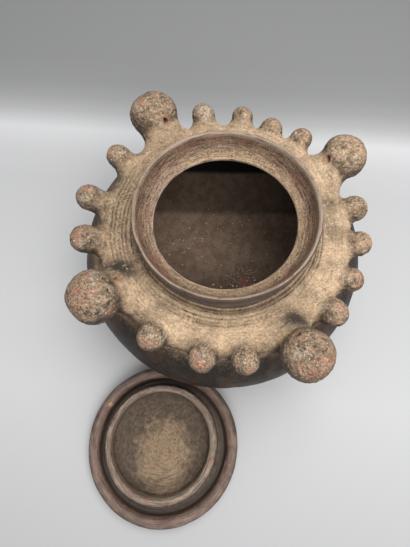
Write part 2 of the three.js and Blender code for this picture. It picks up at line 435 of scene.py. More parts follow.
NECK_RADIUS = THROAT_RADIUS + RIM_FOOT
MOUTH_RADIUS = THROAT_RADIUS + MOUTH_EASE
UNDER_RISE = BELLY_HEIGHT / math.sqrt(1 - (FOOT_RADIUS / BELLY_RADIUS) ** 2)
SHOULDER_RISE = (NECK_HEIGHT - BELLY_HEIGHT) / math.sqrt(1 - (NECK_RADIUS / BELLY_RADIUS) ** 2)
BELLY_MIDDLE = (0, BELLY_HEIGHT)


def shoulder_angle(radius):
    """The angle on the shoulder's ellipse at a distance from the axis."""
    return math.acos(radius / BELLY_RADIUS)


def outside_profile():
    """The bowl from the middle of its base over the belly and the shoulder to the neck."""
    foot = math.asin((FOOT_ROUND - BELLY_HEIGHT) / UNDER_RISE)
    under = ellipse(BELLY_MIDDLE, (BELLY_RADIUS, UNDER_RISE), foot, 0, 56)
    sole = FOOT_RADIUS - FOOT_ROUND
    shoulder = (BELLY_RADIUS, SHOULDER_RISE)
    grooved, neck = shoulder_angle(THROAT_RADIUS + GROOVED_WIDTH), shoulder_angle(NECK_RADIUS)
    return join(
        line((0, 0), (sole, 0), 8),
        bend((sole, 0), (sole + FOOT_ROUND, 0), (under[0][0] - 0.5, FOOT_ROUND / 2), under[0], 5),
        under,
        ellipse(BELLY_MIDDLE, shoulder, 0, grooved, 36),
        ellipse(BELLY_MIDDLE, shoulder, grooved, neck, 46))


def inside_profile():
    """The bowl's flat neck, then its inside from the mouth down to the middle of its floor."""
    shoulder = (BELLY_RADIUS - WALL, SHOULDER_RISE - WALL)
    basin = (BELLY_RADIUS - WALL, UNDER_RISE - WALL)
    mouth = math.acos(MOUTH_RADIUS / shoulder[0])
    floor_edge = math.asin((FLOOR_THICKNESS - BELLY_HEIGHT) / basin[1])
    under = ellipse(BELLY_MIDDLE, basin, 0, floor_edge, 34)
    return join(
        line((NECK_RADIUS, NECK_HEIGHT), (MOUTH_RADIUS, NECK_HEIGHT), NECK_ROWS),
        ellipse(BELLY_MIDDLE, shoulder, mouth, 0, 22),
        under,
        line(under[-1], (0, FLOOR_THICKNESS), 12))


outside, inside = outside_profile(), inside_profile()
profile = join(outside, inside)
bowl, bowl_normals = turned(profile, BOWL_COLUMNS)
row, neck_row = np.arange(len(profile))[:, None], len(outside) - 1
bowl_height = (row < neck_row) * skin(bowl) + (row > neck_row + NECK_ROWS) * rough(bowl, HAND_MARKS)
bowl_height = bowl_height * smooth(bowl[..., 2], *FLAT_BASE)
jar_body = make_piece("jar_body_clay", dressed(bowl, bowl_normals, bowl_height))

# %% [markdown]
# ## The rim
#
# The rim is a ring on the flat neck. Seen from above it has a tan ledge round the throat, then a
# steep burnished collar, and a rolled lip. It could be one surface with the bowl, but it was made
# by itself and has its own finish, so it is its own piece. Its foot is smeared over the shoulder
# with a thin feathered edge, as wet clay is, so no gap shows between the two.

# %% Make the rim
THROAT_STAND, THROAT_ROUND = 4.2, 2.0
LEDGE_RISE, LEDGE_WIDTH, LEDGE_BEND = 3.4, 9.0, 2
COLLAR_HEIGHT, COLLAR_SPREAD = 15.0, 4.0
NECK_DRAW = 0.8
SMEAR, SMEAR_RISE, SMEAR_LIP = 3.6, 1.2, 0.4
SINK = 0.35
RIM_COLUMNS = 480
RIM_STEP, RIM_SOFTEN = 0.55, 2
RIM_LUMPS = 0.5
RIM_LINES = ((1.9, 0.16, 51), (0.9, 0.07, 52))
LINE_STRETCH, LINE_SLANT = 3, 0.8

THROAT_HEIGHT = NECK_HEIGHT + THROAT_STAND
LEDGE_HEIGHT = THROAT_HEIGHT + LEDGE_RISE
LEDGE_RADIUS = THROAT_RADIUS + LEDGE_WIDTH
COLLAR_RADIUS = LEDGE_RADIUS + COLLAR_SPREAD


def on_shoulder(radius, raised=0.0):
    """Height of the shoulder at a distance from the axis, raised by a little."""
    return BELLY_HEIGHT + raised + SHOULDER_RISE * np.sqrt(1 - (radius / BELLY_RADIUS) ** 2)


def rim_profile():
    """The rim's section, from under its foot round the smear, the lip, the ledge and the throat."""
    waist, half = NECK_RADIUS - NECK_DRAW, COLLAR_HEIGHT / 2
    lip = LEDGE_HEIGHT + COLLAR_HEIGHT
    width = LIP_RADIUS - COLLAR_RADIUS
    smear = NECK_RADIUS + SMEAR
    tip = (smear, on_shoulder(smear, -SINK))
    outside = bend((waist, THROAT_HEIGHT), (waist, LEDGE_HEIGHT + half / 2),
                   (LIP_RADIUS, lip - half), (LIP_RADIUS, lip), 30)
    throat = (THROAT_RADIUS + THROAT_ROUND, THROAT_HEIGHT - THROAT_ROUND)
    collar = bend((COLLAR_RADIUS, lip), (COLLAR_RADIUS - NECK_DRAW, lip - half),
                  (LEDGE_RADIUS + LEDGE_BEND, LEDGE_HEIGHT), (throat[0], THROAT_HEIGHT), 30)
    return join(
        line((MOUTH_RADIUS, NECK_HEIGHT), (NECK_RADIUS, NECK_HEIGHT - SINK), 4),
        line((NECK_RADIUS, NECK_HEIGHT - SINK), tip, 3),
        bend(tip, (NECK_RADIUS + SMEAR_RISE, NECK_HEIGHT + SMEAR_LIP),
             (waist, NECK_HEIGHT + SMEAR_RISE), (waist, THROAT_HEIGHT), 8),
        outside,
        ellipse((COLLAR_RADIUS + width / 2, lip), (width / 2, LIP_TOP - lip), 0, math.pi, 16),
        collar,
        ellipse(throat, (THROAT_ROUND, THROAT_ROUND), math.pi / 2, math.pi, 6),
        line((THROAT_RADIUS, throat[1]), (MOUTH_RADIUS, NECK_HEIGHT), 3))


def wiped(points, centre, lines):
    """Height of fine wiping lines: noise on the profile only, stretched round the circle, so that
    it changes fast across and slowly along. Each line gives its width, depth and seed."""
    x, y, z = np.moveaxis(points, -1, 0)
    x, y = x - centre[0], y - centre[1]
    radius = np.maximum(np.hypot(x, y), 1)
    height = 0
    for width, depth, seed in lines:
        place = [x / radius * LINE_STRETCH, y / radius * LINE_STRETCH,
                 (radius + LINE_SLANT * z) / width]
        height = height + depth * grain(np.stack(place, axis=-1), 1, seed)
    return height


rim_line = soften(evenly(rim_profile(), RIM_STEP), RIM_SOFTEN)[:-1]
rim, rim_normals = turned(rim_line, RIM_COLUMNS)
rim_height = RIM_LUMPS * rough(rim, *LUMPS) + wiped(rim, (0, 0), RIM_LINES)
rim_height *= smooth(rim[..., 2], NECK_HEIGHT, THROAT_HEIGHT)
rim_piece = make_piece("rim_clay", dressed(rim, rim_normals, rim_height), closed=True)

# %% [markdown]
# ## A field for the shoulder
#
# The coil and the knobs run into the shoulder with soft hollows. Booleans leave sharp seams there,
# and a Remesh modifier loses the fine rows. Instead each shape is a field: a function that gives
# the distance of any point from its surface. A soft minimum of two fields joins the shapes with a
# fillet. The points of a grid are then slid down the slope of the joined field until they lie on
# its surface, which takes a few steps of Newton's rule.

# %% Fields
BAND_HEEL = 11.0
COIL_RADIUS = 10.0
COIL_SINK = 1.5
BAND_RADIUS = radius_of("knob_band") - BAND_HEEL
BAND_HEIGHT = on_shoulder(BAND_RADIUS) - COIL_SINK
COIL_MELT = 12.0
NEWTON_STEPS = 7
NUDGE = 0.05


def melt(a, b, width):
    """Soft minimum: the smaller of two distances, less (width - |a - b|)^2 / (4 width) where
    they are closer together than the width."""
    near = np.maximum(width - np.abs(a - b), 0)
    return np.minimum(a, b) - near**2 / (4 * width)


def bowl_field(points):
    """Distance from the bowl's outside: k (k - 1) over the slope of k, where k is 1 on the
    ellipse."""
    radius, height = around(points), points[..., 2] - BELLY_HEIGHT
    rise = np.where(height > 0, SHOULDER_RISE, UNDER_RISE)
    k = np.hypot(radius / BELLY_RADIUS, height / rise)
    slope = np.hypot(radius / BELLY_RADIUS**2, height / rise**2)
    return k * (k - 1) / slope


def shoulder_field(points):
    """The bowl and the coil on it, melted together."""
    coil = np.hypot(around(points) - BAND_RADIUS, points[..., 2] - BAND_HEIGHT) - COIL_RADIUS
    return melt(bowl_field(points), coil, COIL_MELT)


def slope_of(field, points):
    """The field's slope, from its values a nudge to either side along each axis."""
    steps = np.eye(3) * NUDGE
    return np.stack([field(points + s) - field(points - s) for s in steps], axis=-1) / (2 * NUDGE)


def settle(points, field, level=0.0):
    """Points slid to where the field has that level: each step is the distance over the slope's
    square, times the slope."""
    for _ in range(NEWTON_STEPS):
        slope = slope_of(field, points)
        step = (field(points) - level) / (slope**2).sum(axis=-1)
        points = points - step[..., None] * slope
    return points


print(f"the coil's middle is {BAND_RADIUS:.1f} mm out and {BAND_HEIGHT:.1f} mm high")

# %% [markdown]
# ## The coil
#
# The coil is a roll of clay that was laid round the shoulder and smeared down on both sides. A
# torus cut by the bowl would have a sharp seam there. So the coil's profile starts as a line of
# points on the bowl and is settled on the melted field, which swells over the coil and comes down
# to the bowl on both sides. Its two edges dip just under the bowl's skin, and its underside follows
# the bowl a little deeper.

# %% Make the coil
BAND_INNER, BAND_OUTER = 91.0, 132.0
BAND_ROWS = 96
BAND_COLUMNS = 480
BAND_DEPTH = 1.4
BAND_DIP = 3
UNDER_ROWS = slice(2, -2, 6)
SLIDE_STEP, SLIDE_STEPS = 0.5, 4 * NEWTON_STEPS


def coil_profile():
    """The coil's outside as points on the field, then its underside back to the start."""
    angles = np.linspace(shoulder_angle(BAND_OUTER), shoulder_angle(BAND_INNER), BAND_ROWS)
    start = np.stack([BELLY_RADIUS * np.cos(angles), 0 * angles,
                      BELLY_HEIGHT + SHOULDER_RISE * np.sin(angles)], axis=-1)
    edge = np.minimum(np.arange(BAND_ROWS), np.arange(BAND_ROWS)[::-1])
    level = -SINK * (1 - smooth(edge, 0, BAND_DIP))
    out = slope_of(bowl_field, start)
    over = start.copy()
    for _ in range(SLIDE_STEPS):
        over = over - (shoulder_field(over) - level)[:, None] * out * SLIDE_STEP
    under = start[::-1][UNDER_ROWS] - BAND_DEPTH * out[::-1][UNDER_ROWS]
    return np.vstack([over, under])[:, [0, 2]]


coil, coil_normals = turned(coil_profile(), BAND_COLUMNS)
is_over = (np.arange(len(coil)) < BAND_ROWS)[:, None]
coil_piece = make_piece(
    "knob_band_clay", dressed(coil, coil_normals, is_over * skin(coil)), closed=True)

# %% [markdown]
# ## The knobs
#
# A knob is a bent neck and a round head on an axis that leans out from the coil. Its field is the
# distance from the neck below the joint and from the ball above it. The grid of one knob starts
# under the coil, runs out over the shoulder as a thin skirt, climbs the neck and closes over the
# head. Settled on the knob's field melted with the shoulder's, the skirt becomes the fillet that a
# thumb smears round the root.
#
# The knobs' sizes and places are what the potter's hand made of them, so they are a table. Each
# entry holds shares of its kind's reach and head. Its fullness is how far the ball goes on below
# its middle, in degrees, and its vent has the two angles that aim the hole.

# %% The knobs' table and field
KNOB_RISE = math.radians(36.5)
LARGE = {"reach": 34.4, "head": 22.0, "melt": 10.0, "columns": 190, "rows": (6, 18, 16, 70)}
SMALL = {"reach": 20.5, "head": 11.0, "melt": 8.5, "columns": 104, "rows": (4, 12, 14, 30)}
SMALL_ROOT, SMALL_WAIST, SMALL_FULLNESS = 14.5, 12.4, 4.0
LARGE_KNOBS = (
    {"azimuth": 31.5, "reach": 0.94, "head": 0.955, "root": 1.14, "waist": 1.0, "crown": 0.91,
     "fullness": 22, "vent": (121, -8), "wear": 0.8},
    {"azimuth": 121.5, "reach": 1.0, "head": 1.06, "root": 0.91, "waist": 0.955, "crown": 0.955,
     "fullness": 20, "vent": (117, 9), "wear": 0.55},
    {"azimuth": 213.4, "reach": 0.94, "head": 1.085, "root": 0.885, "waist": 0.91, "crown": 0.975,
     "fullness": 28, "vent": (134, 4), "wear": 0.8},
    {"azimuth": 299.0, "reach": 1.03, "head": 0.985, "root": 0.885, "waist": 0.84, "crown": 0.975,
     "fullness": 32, "vent": (107, 7), "wear": 0.9},
)
SMALL_KNOBS = (
    {"azimuth": 8.5, "reach": 0.90, "head": 1.02, "wear": 0.3},
    {"azimuth": 51.5, "reach": 0.90, "head": 0.965, "wear": 0.35},
    {"azimuth": 66.4, "reach": 0.73, "head": 0.98, "wear": 0.5},
    {"azimuth": 81.5, "reach": 0.93, "head": 0.965, "wear": 0.4},
    {"azimuth": 100.0, "reach": 1.02, "head": 1.07, "wear": 0.3},
    {"azimuth": 146.0, "reach": 1.05, "head": 1.035, "wear": 0.4},
    {"azimuth": 169.5, "reach": 1.29, "head": 1.09, "wear": 0.8},
    {"azimuth": 188.2, "reach": 1.22, "head": 1.19, "wear": 0.9},
    {"azimuth": 240.0, "reach": 0.855, "head": 1.125, "wear": 0.5},
    {"azimuth": 261.5, "reach": 1.0, "head": 1.055, "wear": 0.6},
    {"azimuth": 277.7, "reach": 1.05, "head": 1.09, "wear": 0.35},
    {"azimuth": 318.5, "reach": 1.0, "head": 1.11, "wear": 0.5},
    {"azimuth": 334.5, "reach": 0.95, "head": 0.945, "wear": 1.0},
    {"azimuth": 351.5, "reach": 0.91, "head": 1.02, "wear": 0.3},
)


class Knob:
    """One knob: its place on the coil, its axis, and the sizes of its neck and head."""

    def __init__(self, name, kind, entry):
        azimuth = math.radians(entry["azimuth"])
        out = np.array([math.cos(azimuth), math.sin(azimuth), 0])
        up = np.array([0, 0, 1.0])
        self.name = name
        self.start = out * BAND_RADIUS + up * BAND_HEIGHT
        self.axis = out * math.cos(KNOB_RISE) + up * math.sin(KNOB_RISE)
        self.top = up * math.cos(KNOB_RISE) - out * math.sin(KNOB_RISE)
        self.side = np.cross(self.axis, self.top)
        size = kind["head"]
        self.head = size * entry["head"]
        self.crown = size * entry.get("crown", entry["head"])
        self.reach = kind["reach"] * entry["reach"]
        self.melt = kind["melt"]
        self.columns, self.rows = kind["columns"], kind["rows"]
        self.vent, self.wear = entry.get("vent"), entry["wear"]
        self.low = math.radians(-entry.get("fullness", SMALL_FULLNESS))
        root = size * entry.get("root", SMALL_ROOT / size)
        waist = size * entry.get("waist", SMALL_WAIST / size)
        self.joint = self.reach + self.head * math.sin(self.low)
        wide, pull = self.head * math.cos(self.low), self.joint / 3
        tangent = (wide + pull * math.sin(self.low), self.joint - pull * math.cos(self.low))
        self.neck = bend((root, 0), (waist, pull), tangent, (wide, self.joint), 30)

    def width(self, along):
        """Radius of the neck at a distance along the axis."""
        return np.interp(along, self.neck[:, 1], self.neck[:, 0])

    def along(self, points):
        """Distance of each point from the knob's start, along its axis."""
        return (points - self.start) @ self.axis

    def field(self, points):
        """Distance from the neck below the joint, and from the ball above it. Beyond its middle
        the ball is stretched to the crown's length."""
        place = points - self.start
        along = place @ self.axis
        across = np.hypot(place @ self.side, place @ self.top)
        ahead = along - self.reach
        ball = np.hypot(across, np.where(ahead > 0, ahead * self.head / self.crown, ahead))
        return np.where(along < self.joint, across - self.width(along), ball - self.head)

    def whole(self, points):
        """The knob melted into the shoulder."""
        return melt(shoulder_field(points), self.field(points), self.melt)


print(len(LARGE_KNOBS), "large knobs and", len(SMALL_KNOBS), "small ones")

# %% [markdown]
# The skirt has to start where the neck meets the shoulder, which is at another height on each
# side of the knob. That height is found by halving an interval, for all columns at once. From
# there the skirt walks outwards over the shoulder in short steps, and settles after each one.

# %% A knob's grid
SKIRT = 1.55
ROOT_DEPTH = -6.0
HALVINGS = 24
SKIRT_DIP = (-SINK, -SINK / 6)


def neck_points(knob, directions, along):
    """Points of the neck: start + along times the axis + the neck's width in each direction."""
    return knob.start + along[:, None] * knob.axis + knob.width(along)[:, None] * directions


def neck_foot(knob, directions):
    """Where on its axis each side of the neck meets the shoulder."""
    low = np.full(len(directions), ROOT_DEPTH)
    high = np.full(len(directions), knob.joint)
    for _ in range(HALVINGS):
        middle = (low + high) / 2
        below = shoulder_field(neck_points(knob, directions, middle)) < 0
        low, high = np.where(below, middle, low), np.where(below, high, middle)
    return (low + high) / 2


def walk_out(knob, points, length, steps):
    """Rows of points that walk away from the knob's axis over the shoulder."""
    rows = [points]
    for _ in range(steps):
        away = points - knob.start
        away = away - (away @ knob.axis)[:, None] * knob.axis
        normal = unit(slope_of(shoulder_field, points))
        away = unit(away - (away * normal).sum(axis=-1, keepdims=True) * normal)
        points = settle(points + away * length / steps, shoulder_field)
        rows.append(points)
    return rows


def knob_grid(knob):
    """A knob's rows, from the pole inside the coil over the skirt, neck and head to the tip."""
    under, skirt, neck, head = knob.rows
    t = turns(knob.columns)[:, None]
    directions = np.cos(t) * knob.top + np.sin(t) * knob.side
    foot = neck_foot(knob, directions)
    out = walk_out(knob, neck_points(knob, directions, foot), SKIRT * knob.melt, skirt)
    rise = [foot + (knob.joint - foot) * k / neck for k in range(1, neck + 1)]
    climb = [neck_points(knob, directions, along) for along in rise]
    turn = np.linspace(knob.low, math.pi / 2, head + 1)[1:]
    length = np.where(turn > 0, knob.crown, knob.head) * np.sin(turn)
    ball = [knob.start + (knob.reach + y) * knob.axis + knob.head * math.cos(a) * directions
            for a, y in zip(turn, length)]
    rows = np.array(out[::-1] + climb + ball)
    level = np.zeros(rows.shape[:2])
    level[0], level[1] = SKIRT_DIP
    rows[:-1] = settle(rows[:-1], knob.whole, level[:-1])
    rows[-1] = rows[-1].mean(axis=0)
    inner = [knob.start + (rows[0] - knob.start) * k / under for k in range(under)]
    return np.concatenate([np.array(inner), rows])


print(f"the skirts of large knobs are {SKIRT * LARGE['melt']:.1f} mm wide")

# %% [markdown]
# The heads are rough: coarse sand stands out of the clay, and small pits lie where grains fell
# out. A bump map would only shade them, and the outline would stay smooth. So that roughness is
# real height in the mesh, stronger on the head than on the neck.

# %% Sand and pits on the heads
SAND = ((2.4, 0.26, 61), (1.4, 0.20, 62))
PIT_SIZE, PIT_DEPTH, PIT_SEED, PIT_FADE = 2.7, 0.6, 63, (0.45, 0.8)
DENTS = (19.0, 0.9, 64)
HEAD_START, HEAD_FULL = 0.25, 0.35


def head_share(knob, points):
    """0 on the root and 1 on the head."""
    full = knob.joint + HEAD_FULL * (knob.reach - knob.joint)
    return smooth(knob.along(points), HEAD_START * knob.reach, full)


def sand(points):
    """Grains from two noises, and pits where a third one is high."""
    pits = smooth(grain(points, PIT_SIZE, PIT_SEED), *PIT_FADE)
    return rough(points, *SAND) - PIT_DEPTH * pits


def knob_clay(knob):
    """The knob's object: its grid, raised by skin, dents and sand."""
    grid = knob_grid(knob)
    normals = unit(slope_of(knob.whole, grid))
    height = skin(grid) + head_share(knob, grid) * (sand(grid) + rough(grid, DENTS))
    height[:knob.rows[0]] = 0
    height[-1] = height[-1].mean()
    return make_piece(knob.name, dressed(grid, normals, height))


sample = np.random.default_rng(0).uniform(0, LARGE["head"], (1000, 3))
print(f"sand and pits go from {sand(sample).min():.2f} to {sand(sample).max():.2f} mm")

# %% [markdown]
# ## The vents
#
# A hollow knob needs a hole, or the steam in it bursts it in the fire. The hollow and its vent are
# one turned shape round the vent's own axis: a ball, then a thin tube that widens where it comes
# out. It is taken away from the knob with a Boolean modifier, which is then applied.

# %% Cut the hollow and its vent
KNOB_WALL = 6.5
VENT_RADIUS = 2.5
VENT_FLARE, FLARE_START, FLARE_ROUND = 0.9, 2.2, 0.3
FLARE_BENDS, FLARE_END, VENT_END = (0.8, 0.2), 0.5, 4
VENT_COLUMNS = 40
VENT_UNEVEN = 0.16
SHARP_EDGE = math.radians(50)


def vent_axis(knob):
    """The vent's direction: turned from the knob's axis towards its top, and a little aside."""
    turn, aside = map(math.radians, knob.vent)
    across = math.sin(aside) * knob.side + math.cos(aside) * knob.top
    return math.cos(turn) * knob.axis + math.sin(turn) * across


def vent_length(knob, middle, axis):
    """Distance from the head's middle to the knob's surface along the vent, by trying 200."""
    reach = np.linspace(0.5 * knob.head, 1.6 * knob.head, 200)
    outside = knob.whole(middle + reach[:, None] * axis) > 0
    return reach[np.argmax(outside)]


def hollow_grid(knob):
    """The hollow ball and the vent as rows round the vent's axis."""
    middle, axis = knob.start + knob.reach * knob.axis, vent_axis(knob)
    ball, out = knob.head - KNOB_WALL, vent_length(knob, middle, axis)
    neck, wide = math.asin(VENT_RADIUS / ball), VENT_RADIUS + VENT_FLARE
    profile = join(
        ellipse((0, 0), (ball, ball), -math.pi / 2, math.pi / 2 - neck, 24),
        line((VENT_RADIUS, ball * math.cos(neck)), (VENT_RADIUS, out - FLARE_START), 4),
        bend((VENT_RADIUS, out - FLARE_START), (VENT_RADIUS, out - FLARE_BENDS[0]),
             (VENT_RADIUS + FLARE_ROUND, out - FLARE_BENDS[1]), (wide, out + FLARE_END), 6),
        line((wide, out + FLARE_END), (wide, out + VENT_END), 2),
        line((wide, out + VENT_END), (0, out + VENT_END), 2))
    t = turns(VENT_COLUMNS)
    first = unit(np.cross(axis, (0, 0, 1.0)))
    second = np.cross(axis, first)
    uneven = 1 + VENT_UNEVEN * np.sin(2 * t + knob.head) + 0.5 * VENT_UNEVEN * np.sin(3 * t)
    ring = np.cos(t)[:, None] * first + np.sin(t)[:, None] * second
    width = profile[:, 0][:, None] * uneven
    return middle + profile[:, 1][:, None, None] * axis + width[..., None] * ring


def cut_hollow(piece, knob):
    """Takes the hollow away from the knob and keeps the result as the knob's mesh."""
    core = make_piece("hollow_of_" + knob.name, sway(hollow_grid(knob)))
    cut = piece.modifiers.new("hollow", "BOOLEAN")
    cut.operation, cut.solver, cut.object = "DIFFERENCE", "EXACT", core
    cut.use_self = True
    seen = piece.evaluated_get(bpy.context.evaluated_depsgraph_get())
    piece.data = bpy.data.meshes.new_from_object(seen)
    piece.modifiers.clear()
    bpy.data.objects.remove(core)
    piece.data.set_sharp_from_angle(angle=SHARP_EDGE)


# %% [markdown]
# Each knob is made from its entry in the tables. One knob could be copied round with an Array
# modifier, but no two of them are alike. Only the large ones are hollow.

# %% Make the eighteen knobs
knobs = []
for number, entry in enumerate(LARGE_KNOBS, start=1):
    knob = Knob(f"large_knob_{number}_clay", LARGE, entry)
    piece = knob_clay(knob)
    cut_hollow(piece, knob)
    knobs.append((knob, piece, f"large_knob_{number}"))
for number, entry in enumerate(SMALL_KNOBS, start=1):
    knob = Knob(f"small_knob_{number:02d}_clay", SMALL, entry)
    knobs.append((knob, knob_clay(knob), f"small_knob_{number:02d}"))
print(len(knobs), "knobs")

# %% [markdown]
# ## The lid
#
# The lid lies with its outer face down. Its disc has a rolled edge, a groove inside it and a
# dished middle, and a ring stands on the disc, which sits in the jar's mouth when the lid is on.
# Disc and ring were made by themselves and luted together, so they are two turned pieces.
#
# The disc's profile is put together from its thickness, its roll and its dish, so that each can be
# changed by itself. With a curve drawn by hand they would all have to be drawn again.

# %% Make the lid's disc
LID_THICKNESS = 8.5
LID_REST_RADIUS = 36.0
ROLL_WIDTH, ROLL_HEIGHT, ROLL_LIFT = 11.6, 12.0, 6.0
ROLL_START, ROLL_END = math.radians(-110), math.radians(160)
HOLLOW_WIDTH, HOLLOW_BEND, HOLLOW_ROUND = 4, (0.4, 1.5), 2.4
RING_WALL = 8.0
DISH_MARGIN, DISH_WIDTH, DISH_DEPTH = 3, 16, 1.0
DISH_BEND = ((5, 0), (8, 0.9))
LID_COLUMNS = 420
LID_STEP = 0.85
LID_LUMPS = 0.6
LID_LINES = ((2.3, 0.22, 71), (1.3, 0.12, 72))
DISH_LINES = ((2.9, 0.30, 73), (1.3, 0.10, 74))
UPPER_SIDE = (3, 7)
DISH_FADE, MIDDLE_FADE = 4, (6, 20)

ROLL_INNER = LID_RADIUS - ROLL_WIDTH
RING_INNER = RING_RADIUS - RING_WALL


def lid_profile():
    """The disc from the middle of its rest over the roll to the middle of the dish."""
    roll = ellipse((ROLL_INNER + ROLL_WIDTH / 2, ROLL_LIFT + ROLL_HEIGHT / 2),
                   (ROLL_WIDTH / 2, ROLL_HEIGHT / 2), ROLL_START, ROLL_END, 40)
    face = (roll[0][0] - LID_REST_RADIUS) / 2
    hollow, dish = ROLL_INNER - HOLLOW_WIDTH, RING_INNER - DISH_MARGIN
    inner, low = dish - DISH_WIDTH, LID_THICKNESS - DISH_DEPTH
    return join(
        line((0, 0), (LID_REST_RADIUS, 0), 12),
        bend((LID_REST_RADIUS, 0), (LID_REST_RADIUS + face, 0),
             (roll[0][0] - face / 2, roll[0][1] / 2), roll[0], 20),
        roll,
        bend(roll[-1], (ROLL_INNER - HOLLOW_BEND[0], LID_THICKNESS + HOLLOW_ROUND),
             (ROLL_INNER - HOLLOW_BEND[1], LID_THICKNESS), (hollow, LID_THICKNESS), 12),
        line((hollow, LID_THICKNESS), (dish, LID_THICKNESS), 12),
        bend((dish, LID_THICKNESS), *((dish - x, LID_THICKNESS - z) for x, z in DISH_BEND),
             (inner, low), 12),
        line((inner, low), (0, low), 12))


plate, plate_normals = turned(evenly(lid_profile(), LID_STEP), LID_COLUMNS, LID_CENTRE)
plate_radius = around(plate, LID_CENTRE)
in_dish = smooth(plate_radius, RING_RADIUS, RING_RADIUS - DISH_FADE)
dish_height = wiped(plate, LID_CENTRE, DISH_LINES) * in_dish * smooth(plate_radius, *MIDDLE_FADE)
plate_height = LID_LUMPS * rough(plate, *LUMPS) + wiped(plate, LID_CENTRE, LID_LINES)
plate_height = smooth(plate[..., 2], *UPPER_SIDE) * (plate_height + dish_height)
lid_plate = make_piece("lid_plate_clay", dressed(plate, plate_normals, plate_height))

# %% [markdown]
# The ring's feet are smeared out a little where it was pressed on, its crown is round, and its
# centre is not quite the disc's, because it was placed by eye.

# %% Make the lid's ring
RING_STAND, RING_CROWN, RING_LEAN = 15.5, 2.8, 0.3
RING_SMEAR, SMEAR_FOOT, SMEAR_TOP = 2.2, (0.3, 0.6), 2
RING_STEP, RING_SOFTEN = 0.5, 2
RING_FADE = 3


def ring_profile():
    """The ring's section, from under its inner foot round the outside and over the crown."""
    top = LID_THICKNESS + RING_STAND - RING_CROWN
    middle, half = RING_RADIUS - RING_WALL / 2, RING_WALL / 2 - RING_LEAN
    foot = LID_THICKNESS - SINK
    aside, lift = SMEAR_FOOT
    outer, inner = RING_RADIUS + RING_SMEAR, RING_INNER - RING_SMEAR
    return join(
        line((inner, foot), (outer, foot), 10),
        bend((outer, foot), (RING_RADIUS + aside, foot + lift), (RING_RADIUS, foot + SMEAR_TOP),
             (middle + half, top), 14),
        ellipse((middle, top), (half, RING_CROWN), 0, math.pi, 18),
        bend((middle - half, top), (RING_INNER, foot + SMEAR_TOP),
             (RING_INNER - aside, foot + lift), (inner, foot), 14))


hoop_line = soften(evenly(ring_profile(), RING_STEP), RING_SOFTEN)[:-1]
hoop, hoop_normals = turned(hoop_line, LID_COLUMNS, RING_CENTRE)
hoop_height = LID_LUMPS * rough(hoop, *LUMPS) + wiped(hoop, RING_CENTRE, LID_LINES)
hoop_height *= smooth(hoop[..., 2], LID_THICKNESS, LID_THICKNESS + RING_FADE)
lid_ring = make_piece("lid_ring_clay", dressed(hoop, hoop_normals, hoop_height), closed=True)

# %% [markdown]
# ## Marks on the clay
#
# Dust, soot and wear depend on where a point lies on the jar. They could be painted by hand in
# Texture Paint. Here each is a formula of the place, stored as one number per point, and the
# materials mix their colours by it.
#
# Dust lies on what faces up, from a height on the belly upwards. It is thinner on a fringe outside
# the coil and on the left side, where it reaches further down too. Under the lip it is thinned to
# paint the lip's shade on the shoulder, and the turning lines get painted shade in their grooves
# and a painted highlight on their crests. The right side is paler. Soot is a sum of soft balls
# round the places where smoke has left a dark patch.

# %% Marks of the jar
DUST_FADE, DUST_SLOPE, DUST_LEAST = (100.0, 127.0), (-0.25, 0.55), 0.2
BARE_SIDE, BARE_SPREAD, BARE_SHARE = 180.0, (75, 15), 0.22
BARE_LIFT, BARE_LIFT_SPREAD = 15, (55, 15)
PALE_SIDE, PALE_SPREAD = 20.0, (100, 30)
LIP_SHADE_SPAN, LIP_SHADE_SHARE = (89.0, 81.0), 0.45
FRINGE, FRINGE_SHARE = (103.0, 121.0), 0.17
GROOVE_LEAN, CREST_OFFSET = -0.5, 1.3
INSIDE_FADE = (-0.35 * WALL, -0.65 * WALL)
SOOT_SPOTS = (
    ((-87, -50, 136), 9, 1.0),
    ((-96, -44, 134), 9, 1.0),
    ((55, -92, 137), 9, 1.0),
    ((60, -93, 138), 9, 1.0),
    ((-110, 48, 130), 14, 0.8),
    ((-118, 30, 124), 16, 0.5),
    ((-112, 5, 124), 13, 0.5),
    ((99, -4, 130), 16, 0.35),
    ((97, 22, 130), 14, 0.4),
    ((-62, -88, 124), 12, 0.6),
)


def points_of(obj):
    """The points of an object's mesh, in millimetres."""
    flat = np.empty(len(obj.data.vertices) * 3, np.float32)
    obj.data.vertices.foreach_get("co", flat)
    return flat.reshape(-1, 3).astype(float) / MM


def normals_of(obj):
    """The direction that the surface faces at each point."""
    flat = np.empty(len(obj.data.vertices) * 3, np.float32)
    obj.data.vertex_normals.foreach_get("vector", flat)
    return flat.reshape(-1, 3)


def mark(obj, **shares):
    """Stores numbers, one per point and name, which a material can read as attributes."""
    for name, values in shares.items():
        attribute = obj.data.attributes.new(name, "FLOAT", "POINT")
        attribute.data.foreach_set("value", np.asarray(values, np.float32))
    print(obj.name, ", ".join(f"{name} {np.mean(values):.2f}" for name, values in shares.items()))


def soot_share(points):
    """Sum of strength times exp(-(distance / size)^2) over the spots."""
    total = 0
    for place, size, strength in SOOT_SPOTS:
        away = np.linalg.norm(points - np.array(place), axis=-1)
        total = total + strength * np.exp(-(away / size) ** 2)
    return np.clip(total, 0, 1)


def side_share(points, azimuth, spread):
    """1 on one side of the jar, fading over a spread of degrees to 0 on the other."""
    return smooth(np.abs(turn_from(points, azimuth)), *spread)


